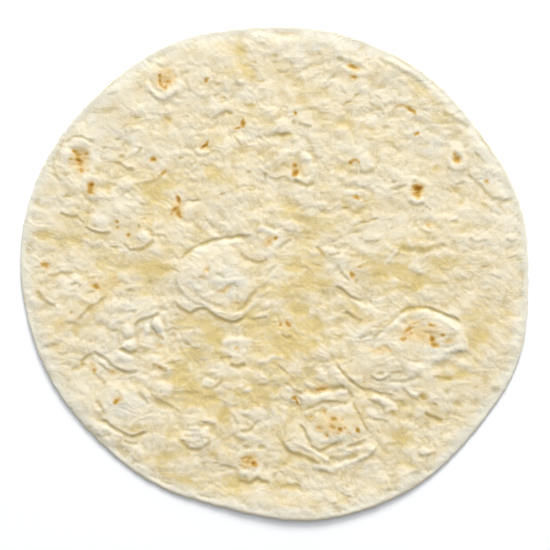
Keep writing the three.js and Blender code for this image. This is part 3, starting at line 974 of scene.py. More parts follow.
        Dimple((264.5, 175), (1.9, 2.2), 0, 0.85), Dimple((247.5, 172), (2.4, 1.3), 0, 0.7),
        Dimple((285.5, 166.5), (4, 1.6), 0, 0.6), Dimple((221.5, 195), (2.3, 1.4), 0, 0.75),
        Dimple((320, 53), (3, 1), -40, 0.5), Dimple((325, 194), (5, 1.2), 0, 0.4),
        # Upper right
        Dimple((340, 59.5), (3.6, 2), -8, 0.95), Dimple((357, 96), (4.5, 1.4), 20, 0.75),
        Dimple((344.5, 93.7), (3.5, 1.2), -25, 0.6), Dimple((379, 98), (3.6, 1.2), -22, 0.75),
        Dimple((347.5, 103.5), (3.2, 1.3), 25, 0.65), Dimple((385, 126.5), (3.6, 1.2), -8, 0.7),
        Dimple((371, 140), (4.5, 1.3), -10, 0.5), Dimple((332, 78.5), (3.4, 1.2), 15, 0.65),
        Dimple((325, 83), (1.6, 1.3), 0, 0.6), Dimple((353.5, 174.5), (6, 3.6), 0, 0.55),
        Dimple((394, 181.3), (2.2, 1.4), 0, 0.65), Dimple((413, 182), (2, 1.2), 0, 0.6),
        Dimple((460, 183.5), (5, 1.8), 0, 0.55), Dimple((478, 156.5), (4.6, 1.2), -45, 0.75),
        Dimple((345, 207.2), (4.6, 1.3), -5, 0.85), Dimple((363.5, 201.5), (3.4, 1), 10, 0.7),
        Dimple((425, 109.5), (3.4, 1), 0, 0.5), Dimple((438, 105.5), (6, 1.6), 0, 0.5),
        # Right of the middle
        Dimple((319.7, 251.5), (4.8, 1.6), -62, 0.95), Dimple((364.5, 222), (4.6, 1.3), 0, 0.85),
        Dimple((374, 219), (4, 1.2), 8, 0.75), Dimple((354, 233), (4, 1.4), 15, 0.55),
        Dimple((309, 237.5), (4.5, 1.2), -20, 0.5), Dimple((318, 265), (4.5, 1.3), -12, 0.75),
        Dimple((356.5, 282), (2.6, 1.2), 60, 0.6), Dimple((392, 227.5), (3, 1.2), 30, 0.5),
        Dimple((358.5, 212.5), (4.5, 2.6), 0, 0.45), Dimple((322, 212), (4, 2.6), 0, 0.35),
        Dimple((304, 210.5), (4.5, 2), 0, 0.4), Dimple((455, 222), (3, 2), 0, 0.5),
        Dimple((485, 268), (3, 1.8), 0, 0.6), Dimple((334, 296), (4, 3), 0, 0.3),
        Dimple((323, 293), (3, 3.5), 0, 0.3), Dimple((378, 275.5), (6, 1.6), 0, 0.35),
    )

    toasts: tuple[Toast, ...] = (
        # Two burst blisters at the top left
        Toast((165, 79.5), (10.5, 10), 0, 0.36, 0.25, ring=15, rise=0.25),
        Toast((169, 71.5), (5, 1.8), -15, 0.42, 0.05), Toast((160.3, 76.3), (1.9, 1.7), 0, 0.95, 0.1),
        Toast((167.5, 81.7), (3.4, 1.5), -35, 0.85, 0.1),
        Toast((160.5, 81.3), (2.6, 1.8), -60, 0.75, 0.1), Toast((162, 85.7), (3.4, 2.2), -30, 0.6, 0.1),
        Toast((174, 76.5), (1.8, 2.6), 0, 0.4, 0.05), Toast((165.3, 87.6), (2.1, 1.4), 0, 0.75, 0.1),
        Toast((80, 160), (8.5, 12), 0, 0.42, 0.2, ring=17, rise=0.2),
        Toast((76.3, 151.7), (2.6, 2), -30, 0.95, 0.1), Toast((79.5, 154.6), (3.2, 1.9), -20, 0.8, 0.1),
        Toast((86.5, 153), (3.2, 2.6), 0, 0.5, 0.1), Toast((78.7, 160), (3.6, 2.4), -38, 1.0, 0.15),
        Toast((71, 158.7), (2.4, 1.4), 20, 0.6, 0.1), Toast((86, 159.5), (2, 1.8), 0, 0.55, 0.1),
        Toast((82, 170), (2.3, 2.3), 15, 0.75, 0.1), Toast((80.5, 165), (2.6, 2.6), 0, 0.6, 0.1),
        Toast((88, 170), (1.8, 1.4), 0, 0.45, 0.1),
        # Small spots from the upper left to the top
        Toast((91, 185.5), (3.6, 3.1), 0, 1.0, 0.2), Toast((90.7, 191.5), (3.6, 3.2), 0, 0.75, 0.2),
        Toast((91, 188.5), (5, 6.5), 0, 0.34, 0.1), Toast((153.5, 158.8), (2.9, 2.5), 0, 1.0, 0.25),
        Toast((154, 159.5), (5, 4), 0, 0.3, 0.1), Toast((165, 174), (3, 1.8), 28, 0.9, 0.2),
        Toast((159.5, 176), (5.5, 1.5), 22, 0.4, 0.1), Toast((178.5, 200.5), (2.3, 3.5), 10, 1.0, 0.2),
        Toast((178.5, 214), (5.5, 3.5), 0, 0.55, 0.1), Toast((174.5, 210.7), (5.5, 2), 38, 0.95, 0.15),
        Toast((94, 191.5), (4.5, 4), 0, 0.4, 0.05), Toast((179.7, 213.3), (4.8, 2.1), -62, 0.95, 0.15),
        Toast((177, 209.5), (6, 7), 0, 0.38, 0.1), Toast((205.5, 145.5), (4.8, 1.7), 58, 0.95, 0.2),
        Toast((208, 147.5), (3, 3), 0, 0.3, 0.1), Toast((243.5, 123.3), (1.9, 3.4), 0, 0.95, 0.2),
        Toast((238, 127.3), (4, 1.4), 20, 0.75, 0.1), Toast((241.5, 124.5), (4.5, 3.8), 0, 0.26, 0.1),
        Toast((207, 80), (2.4, 2.6), 0, 0.8, 0.2), Toast((206.5, 82.5), (3.2, 2), 0, 0.4, 0.1),
        Toast((221.6, 98.5), (5.5, 5.5), 0, 0.15, 0.1), Toast((282, 113), (6, 4), 0, 0.13, 0.05),
        Toast((295.5, 113.5), (2.1, 2.2), 0, 0.95, 0.2),
        # Spots at the top and right
        Toast((294.5, 164.2), (2.4, 2.5), 0, 0.9, 0.2, ring=13, rise=0.25),
        Toast((295, 168.5), (4.6, 6.5), 0, 0.42, 0.1), Toast((294.8, 172.2), (3.1, 2.8), 0, 1.15, 0.2),
        Toast((301.5, 168), (6, 3.5), 0, 0.26, 0.1), Toast((352.5, 66.7), (5, 2.2), -22, 0.85, ring=9),
        Toast((353, 76.7), (3.8, 1.7), 10, 0.75, 0.2), Toast((353, 71), (4, 5), 0, 0.16, 0.1),
        Toast((401, 105.7), (4, 1.9), -10, 0.42, 0.15), Toast((409.5, 109.7), (6.5, 2.2), -38, 0.8, 0.2),
        Toast((417.5, 134.3), (2.3, 1.8), 0, 0.8, 0.2), Toast((354.3, 160.3), (3.4, 2.1), 0, 0.55, 0.15),
        Toast((351.5, 162.8), (1.9, 2.2), 0, 0.75, 0.15), Toast((357.6, 162.6), (1.7, 2), 0, 0.6, 0.15),
        Toast((356.5, 197.7), (4.2, 2.1), -12, 0.65, 0.2),
        Toast((417.7, 191), (6.2, 6.8), 0, 0.42, 0.2, ring=10.5, rise=0.25),
        Toast((418, 188.3), (4.8, 3), -10, 1.2, 0.1), Toast((417.5, 192.5), (4.8, 3.8), 0, 0.78, 0.1),
        Toast((417, 197.3), (2.6, 2), 0, 0.55, 0.05), Toast((456.7, 160), (2.5, 4), 0, 0.95, 0.2, ring=9),
        Toast((455, 154.5), (2.6, 2.4), 0, 0.65, 0.1), Toast((457, 158.5), (4, 5.5), 0, 0.26, 0.1),
        Toast((456, 190), (6, 2), 0, 0.2, 0.05), Toast((487, 181.8), (2.6, 1.8), 0, 0.6, 0.15),
        Toast((430, 225.4), (2.4, 1.5), 0, 0.6, 0.2), Toast((351.7, 275), (4.6, 2.2), -55, 0.75, 0.25),
        Toast((360.5, 266.7), (4.6, 1.3), 20, 0.55, 0.15),
        # Left side
        Toast((45, 264.3), (3.2, 2.4), 0, 0.75, 0.25), Toast((46.5, 267), (2.6, 1.6), 0, 0.4, 0.1),
        Toast((96, 286.5), (4.2, 2.6), 0, 0.7, 0.2), Toast((115, 278), (3.5, 5), 0, 0.28, 0.05),
        Toast((128, 235.5), (2.4, 1.8), 20, 0.75, 0.2), Toast((134, 244.5), (5, 3.2), 0, 0.2, 0.1),
        Toast((116.7, 222.3), (2.2, 1.6), 0, 0.75, 0.2), Toast((117.5, 228.3), (2, 1.2), 0, 0.6, 0.1),
        Toast((94.8, 369.5), (2.6, 2), 0, 0.6, 0.2), Toast((93.5, 364.5), (2, 4), 20, 0.3, 0.1),
        Toast((112.5, 371.3), (4, 2.4), -20, 0.4, 0.15), Toast((114, 374), (1.8, 1.4), 0, 0.4, 0.1),
        Toast((116.8, 401), (2.7, 2.2), 18, 0.9, 0.25), Toast((118, 400), (6, 5), 0, 0.3, 0.1),
        Toast((160.5, 336.5), (3.4, 1.9), -35, 0.4, 0.15), Toast((160, 345), (4.5, 2.4), -10, 0.36, 0.2),
        Toast((161, 367.3), (4.6, 2.2), -22, 0.45, 0.15), Toast((77, 319.5), (4, 2), 30, 0.22, 0.1),
        # Middle pillow and the rings below it
        Toast((206.5, 270), (4.5, 3), 32, 0.36, 0.1), Toast((224, 290), (7, 3), 25, 0.34, 0.1),
        Toast((203, 277), (5, 3), 0, 0.22, 0.1), Toast((237.7, 305.2), (2.4, 2), 0, 0.26, 0.1),
        Toast((269, 241), (7, 3.6), 35, 0.4, 0.2), Toast((275.3, 238), (2.3, 2.1), 0, 0.95, 0.2),
        Toast((279.5, 324), (2, 2.8), 0, 0.75, 0.2), Toast((288, 323.5), (2.5, 2.4), 0, 0.9, 0.2),
        Toast((237.5, 349), (2.6, 1.9), 0, 0.5, 0.2), Toast((251, 385.5), (3.6, 1.6), 0, 0.22, 0.1),
        Toast((259.5, 397.5), (6, 5), 0, 0.3, 0.1), Toast((209.5, 398.5), (5, 2), 15, 0.22, 0.1),
        Toast((236, 317), (5, 3), 0, 0.22, 0.05), Toast((228, 426), (4, 4), 0, 0.22, 0.05),
        # Browned hollow of the right pillow and beside it
        Toast((423, 334), (22, 11), 3, 0.3, 0.45), Toast((415, 322.7), (5, 1.6), 0, 0.5, 0.15),
        Toast((408.5, 329), (4.8, 2.2), 38, 0.75, 0.2), Toast((403.3, 338.5), (2.9, 1.9), 10, 0.8, 0.2),
        Toast((432, 324.3), (4, 1.5), -8, 0.7, 0.2), Toast((434.5, 344.5), (4.4, 2.6), -25, 0.75, 0.25),
        Toast((431.5, 338.5), (3.2, 2), -50, 0.95, 0.2),
        Toast((441.5, 334.7), (3.4, 1.5), -12, 0.65, 0.2), Toast((430, 340), (5, 5), 0, 0.36, 0.05),
        Toast((407, 332), (7, 4.5), 40, 0.34, 0.05), Toast((449, 340.7), (6, 1.9), 10, 0.4, 0.2),
        Toast((411, 334.5), (4, 2.6), 20, 0.5, 0.1), Toast((410, 338), (2, 1), 0, 0.6, 0.1),
        Toast((423, 338), (2, 3), 0, 0.34, 0.1), Toast((424, 319), (5, 1.3), 0, 0.3, 0.1),
        Toast((417, 332), (3, 2), 0, 0.34, 0.1), Toast((382, 350), (14, 5), 5, 0.25, 0.15),
        Toast((373.5, 351.3), (2.4, 1.2), 15, 0.4, 0.1), Toast((379, 349), (2.4, 1.3), 25, 0.42, 0.1),
        Toast((385.5, 346.7), (2.4, 1.3), 0, 0.42, 0.1), Toast((390, 350.5), (2.4, 1.4), -30, 0.45, 0.1),
        Toast((382, 354), (1.6, 1.2), 0, 0.4, 0.1), Toast((454, 366), (4, 2.6), 0, 0.22, 0.1),
        Toast((458, 375), (4.5, 4), 0, 0.15, 0.1),
        # Square blister and the folds above it
        Toast((332, 424.5), (17, 11), 0, 0.27, 0.2), Toast((334, 418.7), (3.4, 2.3), -10, 0.75, 0.25),
        Toast((311, 418.3), (3.2, 2), 0, 0.45, 0.05), Toast((327, 434.6), (2.6, 1.9), 0, 0.5, 0.05),
        Toast((337, 433), (3, 1.8), 0, 0.5, 0.05), Toast((348, 433), (3, 2), 0, 0.4, 0.05),
        Toast((340, 428.5), (2.7, 2.4), 0, 0.9, 0.25), Toast((346, 427.2), (2, 1.7), 0, 0.55, 0.1),
        Toast((357.3, 430), (2.5, 2.2), 0, 0.8, 0.2), Toast((332, 426.5), (4, 2), 0, 0.6, 0.1),
        Toast((342, 419.7), (2.2, 1.5), 0, 0.5, 0.1), Toast((319.5, 427.5), (2.8, 2.4), 0, 0.55, 0.1),
        Toast((321, 388.7), (12, 3), 9, 0.52, 0.05), Toast((323.5, 411.5), (2.4, 2.2), 0, 0.55, 0.1),
        Toast((293.8, 397.5), (2.8, 2), -25, 0.9, 0.2), Toast((296, 402), (1.8, 3.2), 0, 0.65, 0.1),
        Toast((298, 405.3), (2.2, 1.4), 0, 0.6, 0.1), Toast((395, 442), (5, 1.6), 0, 0.17, 0.1),
        # Burst blister at the bottom
        Toast((249, 460.4), (9, 6.5), 0, 0.42, 0.45), Toast((254.5, 462.3), (2.9, 2.7), 0, 0.85, 0.2),
        Toast((244.5, 457), (3.6, 1.6), 8, 0.65, 0.15), Toast((249.5, 458.5), (1.6, 2.4), 30, 0.65, 0.1),
        Toast((245, 465.7), (4, 1.2), -20, 0.55, 0.1), Toast((213.5, 454.5), (2.8, 2.6), 0, 0.22, 0.1),
    )

    calm_patches: tuple[CalmPatch, ...] = (
        CalmPatch((115, 105), (48, 24), 42, calm=0.75), CalmPatch((210, 48), (38, 15), 12, calm=0.6),
        CalmPatch((300, 42), (42, 15), calm=0.55), CalmPatch((420, 165), (42, 20), calm=0.4),
        CalmPatch((478, 145), (46, 16), -60, calm=0.5), CalmPatch((490, 225), (24, 24), calm=0.4),
        CalmPatch((482, 385), (38, 20), 60, calm=0.65), CalmPatch((395, 455), (20, 17), calm=0.45),
        CalmPatch((290, 500), (30, 13), calm=0.5), CalmPatch((50, 200), (18, 32), calm=0.45),
        CalmPatch((62, 362), (26, 24), calm=0.45), CalmPatch((95, 395), (38, 42), -40, calm=0.35),
    )

    thin_patches: tuple[ThinPatch, ...] = (
        # Yellow stretches
        ThinPatch((255, 330), (78, 30), depth=0.30), ThinPatch((295, 325), (25, 26), depth=0.35),
        ThinPatch((210, 390), (46, 26), depth=0.30), ThinPatch((255, 400), (32, 15), depth=0.25),
        ThinPatch((130, 270), (52, 22), depth=0.28), ThinPatch((315, 225), (30, 20), depth=0.22),
        ThinPatch((300, 275), (38, 18), depth=0.22), ThinPatch((410, 270), (56, 28), depth=0.34),
        ThinPatch((470, 345), (20, 40), depth=0.2), ThinPatch((455, 375), (26, 16), depth=0.22),
        ThinPatch((165, 460), (48, 26), -20, depth=0.28), ThinPatch((280, 485), (44, 12), depth=0.25),
        ThinPatch((240, 58), (14, 30), depth=0.3), ThinPatch((155, 192), (20, 18), depth=0.3),
        ThinPatch((215, 175), (42, 15), -10, depth=0.22),
        ThinPatch((320, 105), (90, 13), -31, depth=0.28), ThinPatch((60, 240), (32, 12), depth=0.2),
        ThinPatch((400, 440), (26, 20), depth=0.3), ThinPatch((80, 308), (34, 9), 18, depth=0.22),
        ThinPatch((108, 245), (9, 28), depth=0.4), ThinPatch((106, 184), (16, 11), depth=0.35),
        ThinPatch((163, 275), (18, 10), depth=0.35), ThinPatch((186, 362), (30, 15), 20, depth=0.5),
        ThinPatch((255, 335), (16, 16), depth=0.4), ThinPatch((295, 349), (20, 12), depth=0.6),
        ThinPatch((338, 331), (14, 9), 25, depth=0.4), ThinPatch((317, 278), (12, 17), depth=0.45),
        ThinPatch((400, 268), (11, 22), depth=0.3), ThinPatch((472, 308), (42, 13), depth=0.45),
        ThinPatch((333, 424), (19, 12), 8, depth=0.75), ThinPatch((419, 189), (10, 9), depth=0.35),
        ThinPatch((224, 46), (17, 9), -20, depth=0.4), ThinPatch((251, 137), (11, 11), depth=0.3),
        ThinPatch((422, 90), (38, 9), -42, depth=0.5),
        # Pale stretches
        ThinPatch((110, 115), (60, 40), 30, depth=-0.18), ThinPatch((490, 200), (30, 52), depth=-0.25),
        ThinPatch((150, 320), (44, 28), depth=-0.35), ThinPatch((95, 395), (44, 42), -40, depth=-0.32),
        ThinPatch((225, 278), (44, 36), depth=-0.1), ThinPatch((440, 362), (34, 14), 20, depth=-0.22),
        ThinPatch((365, 352), (34, 28), depth=-0.2), ThinPatch((345, 50), (56, 18), -10, depth=-0.25),
        ThinPatch((290, 145), (54, 20), -10, depth=-0.12), ThinPatch((385, 200), (30, 30), depth=-0.12),
        ThinPatch((340, 470), (60, 26), 10, depth=-0.12), ThinPatch((440, 150), (15, 13), depth=-0.6),
        ThinPatch((69, 201), (14, 13), depth=-0.4), ThinPatch((229, 402), (14, 9), depth=-0.5),
        ThinPatch((350, 390), (13, 9), depth=-0.4), ThinPatch((409, 298), (15, 9), depth=-0.5),
        ThinPatch((381, 253), (15, 10), depth=-0.5), ThinPatch((500, 250), (22, 12), depth=-0.4),
        ThinPatch((455, 219), (22, 10), depth=-0.25), ThinPatch((273, 283), (12, 9), depth=-0.4),
        ThinPatch((284, 321), (10, 10), depth=-0.4), ThinPatch((323, 313), (14, 7), depth=-0.35),
        ThinPatch((130, 219), (13, 9), depth=-0.35), ThinPatch((128, 258), (12, 9), depth=-0.3),
        ThinPatch((88, 297), (14, 9), depth=-0.35), ThinPatch((378, 114), (15, 16), depth=-0.35),
        ThinPatch((178, 472), (22, 9), -15, depth=-0.5), ThinPatch((290, 44), (70, 12), depth=-0.3),
        # Small yellow spots above
        ThinPatch((240, 52), (6, 13), depth=0.7), ThinPatch((249, 72), (7, 11), 40, depth=0.6),
        ThinPatch((168, 119), (6, 4), depth=0.5), ThinPatch((136, 125), (9, 7), depth=0.3),
        ThinPatch((157, 196), (13, 10), depth=0.45), ThinPatch((111, 188), (9, 6), depth=0.45),
        ThinPatch((211, 173), (9, 7), depth=0.55), ThinPatch((285, 135), (8, 4), depth=0.5),
        ThinPatch((345, 120), (10, 9), depth=0.35), ThinPatch((438.6, 119), (9, 7), depth=0.55),
        ThinPatch((436, 168), (4, 3), depth=0.5), ThinPatch((455, 190), (9, 4), depth=0.5),
        ThinPatch((460, 203.5), (4, 3), depth=0.5), ThinPatch((430, 248), (12, 4), depth=0.6),
        ThinPatch((440, 263), (13, 7), depth=0.55),
        # Small yellow spots across the middle
        ThinPatch((45, 234), (11, 5), depth=0.55), ThinPatch((95.5, 236), (10, 5), depth=0.6),
        ThinPatch((101.6, 265), (6, 7), depth=0.65), ThinPatch((155, 268.6), (15, 6), depth=0.65),
        ThinPatch((140, 295), (9, 5), depth=0.55), ThinPatch((77, 329), (5, 7), depth=0.55),
        ThinPatch((59, 326), (7, 7), depth=0.5), ThinPatch((294, 269), (8, 5), depth=0.55),
        ThinPatch((298.6, 309), (10, 7), depth=0.75), ThinPatch((283, 340), (14, 16), depth=0.6),
        ThinPatch((325, 282), (8, 5), depth=0.5), ThinPatch((381, 276), (10, 6), depth=0.6),
        ThinPatch((416.5, 281), (10, 6), depth=0.6), ThinPatch((397, 268), (10, 5), depth=0.5),
        # Small yellow spots below
        ThinPatch((215, 335), (9, 7), depth=0.6), ThinPatch((177, 380.5), (7, 5), depth=0.55),
        ThinPatch((192.7, 389.4), (9, 7), depth=0.75), ThinPatch((207, 398), (13, 8), depth=0.8),
        ThinPatch((260, 399), (12, 8), depth=0.65), ThinPatch((225.5, 416.5), (7, 9), depth=0.65),
        ThinPatch((168, 455), (11, 5), depth=0.65), ThinPatch((213, 455), (6, 5), depth=0.55),
        ThinPatch((226.5, 482), (15, 6), depth=0.6), ThinPatch((187, 477), (7, 5), depth=0.55),
        ThinPatch((291, 487), (11, 4), depth=0.6), ThinPatch((404, 440), (14, 10), depth=0.5),
        ThinPatch((445.5, 378), (9, 4), depth=0.55), ThinPatch((460, 375), (8, 5), depth=0.55),
        ThinPatch((479, 336), (6, 10), depth=0.7), ThinPatch((425, 396), (5, 3), depth=0.55),
    )

    def work_out(self, x: Array, y: Array) -> DoughFace:
        """Press every feature into a level face.

        Args:
            x: places along +X.
            y: places along +Y.

        Returns:
            The face with its height and stains.
        """
        face = DoughFace(x, y)
        bumps = (*self.calm_patches, *self.thin_patches, *self.pillows, *self.ridges)
        marks = (*self.folds, *self.dimples, *self.toasts)
        for feature in (*bumps, *marks):
            feature.press(face)
        self.grain.press(face)
        return face


@dataclass(frozen=True)
class Underside:
    """The face that the photo doesn't show: pressed flat, with shallow hollows and its own toast."""

    hollow: float = 0.25
    hollow_size: float = 14.0
    hollow_layers: int = 2
    thin_size: float = 18.0
    thin_layers: int = 3
    toast_size: float = 11.0
    toast_layers: int = 2
    toast_span: Span = (0.55, 1.05)
    toast_heat: float = 0.75

    def work_out(self, x: Array, y: Array) -> DoughFace:
        """Hollow and stain a level face by noise alone.

        Args:
            x: places along +X.
            y: places along +Y.

        Returns:
            The face, its height counted up into the dough.
        """
        face = DoughFace(x, y)
        hollow = NOISE.layered(x, -y, self.hollow_size, self.hollow_layers)
        thin = NOISE.layered(face.ragged_x, -face.ragged_y, self.thin_size, self.thin_layers)
        toast = NOISE.layered(face.ragged_y, face.ragged_x, self.toast_size, self.toast_layers)
        face.height = self.hollow * np.maximum(hollow, 0.0)
        face.thin = np.clip(0.5 + 0.5 * thin, 0.0, 1.0)
        face.toast = self.toast_heat * ramp(*self.toast_span, toast)
        return face


class Wire:
    """An output socket, with sums on its value written as Python expressions."""

    def __init__(self, graph: "ShaderGraph", socket: bpy.types.NodeSocket) -> None:
        """Wrap a socket of a graph's node."""
        self.graph = graph
        self.socket = socket

    def _sum(self, operation: str, first: "Value", second: "Value") -> "Wire":
        """Add a Math node for two values."""
        return self.graph.node("ShaderNodeMath", {"operation": operation}, {0: first, 1: second})

    def __add__(self, other: "Value") -> "Wire":
        """This and the other."""
        return self._sum("ADD", self, other)

    def __sub__(self, other: "Value") -> "Wire":
        """This less the other."""
        return self._sum("SUBTRACT", self, other)

    def __rsub__(self, other: "Value") -> "Wire":
        """The other less this."""
        return self._sum("SUBTRACT", other, self)

    def __mul__(self, other: "Value") -> "Wire":
        """This times the other."""
        return self._sum("MULTIPLY", self, other)

    def ramp(self, low: float, high: float) -> "Wire":
        """Ease from 0 at low to 1 at high, level at both ends."""
        feeds = {"Value": self, "From Min": low, "From Max": high}
        return self.graph.node("ShaderNodeMapRange", {"interpolation_type": "SMOOTHSTEP"}, feeds)


Value = Union[Wire, float, tuple[float, ...]]


class ShaderGraph:
    """A material's nodes, added one at a time."""

    NOISE_ROUGHNESS: ClassVar[float] = 0.6

    def __init__(self, name: str) -> None:
        """Start an empty material.

        Args:
            name: the material's name.
        """
        self.material = bpy.data.materials.new(name)
        self.material.use_nodes = True
        self.nodes = self.material.node_tree.nodes
        self.links = self.material.node_tree.links
        self.nodes.clear()

    def node(self, kind: str, settings: dict[str, Any], feeds: dict[Any, Value], outlet: Any = 0) -> Wire:
        """Add a node, set it and feed its sockets.

        Args:
            kind: the node's type.
            settings: its own values, set first.
            feeds: values or links by socket identifier, name or number.
            outlet: the output to go on with.

        Returns:
            The chosen output.
        """
        made = self.nodes.new(kind)
        for name, value in settings.items():
            setattr(made, name, value)
        for name, value in feeds.items():
            socket = self._socket(made.inputs, name)
            if isinstance(value, Wire):
                self.links.new(value.socket, socket)
            else:
                socket.default_value = value
        return Wire(self, self._socket(made.outputs, outlet))

    @staticmethod
    def _socket(sockets: Any, name: Any) -> bpy.types.NodeSocket:
        """Find a socket by its identifier, its name or its number."""
        named = [socket for socket in sockets if name in (socket.identifier, socket.name)]
        return named[0] if named else sockets[name]

    def stain(self, stain: Stain) -> Wire:
        """A value that the mesh keeps at each vertex."""
        return self.node("ShaderNodeAttribute", {"attribute_name": stain.value}, {}, "Fac")

    def noise(self, place: Wire, size: float, detail: float = 2.0, wrinkle: float = 1.2) -> Wire:
        """Noise from 0 to 1.

        Args:
            place: where it is read.
            size: about the length of its waves, in millimetres.
            detail: how many finer layers it has.
            wrinkle: how far its waves are pushed about.

        Returns:
            The noise.
        """
        feeds = {
            "Vector": place,
            "Scale": 1.0 / (size * MM),
            "Detail": detail,
            "Roughness": self.NOISE_ROUGHNESS,
            "Distortion": wrinkle,
        }
        return self.node("ShaderNodeTexNoise", {}, feeds)

    def mix(self, share: Value, first: Union[Wire, Colour], second: Union[Wire, Colour]) -> Wire:
        """Blend two colours, by a share from 0 to 1.

        Args:
            share: 0 for the first colour, 1 for the second.
            first: a colour or a link to one.
            second: a colour or a link to one.

        Returns:
            The blend.
        """
        feeds = {"Factor_Float": share, "A_Color": self._paint(first), "B_Color": self._paint(second)}
        return self.node("ShaderNodeMix", {"data_type": "RGBA"}, feeds, "Result_Color")

    @staticmethod
    def _paint(colour: Union[Wire, Colour]) -> Value:
        """A link as it is, or a colour with its alpha."""
        return colour if isinstance(colour, Wire) else (*colour, 1.0)

    def surface(self, feeds: dict[Any, Value]) -> bpy.types.Material:
        """Finish the material with the shader that its surface shows.

        Args:
            feeds: values or links by the shader's socket names.

        Returns:
            The material.
        """
        shader = self.node("ShaderNodeBsdfPrincipled", {}, feeds)
        output = self.nodes.new("ShaderNodeOutputMaterial")
        self.links.new(shader.socket, output.inputs["Surface"])
        return self.material


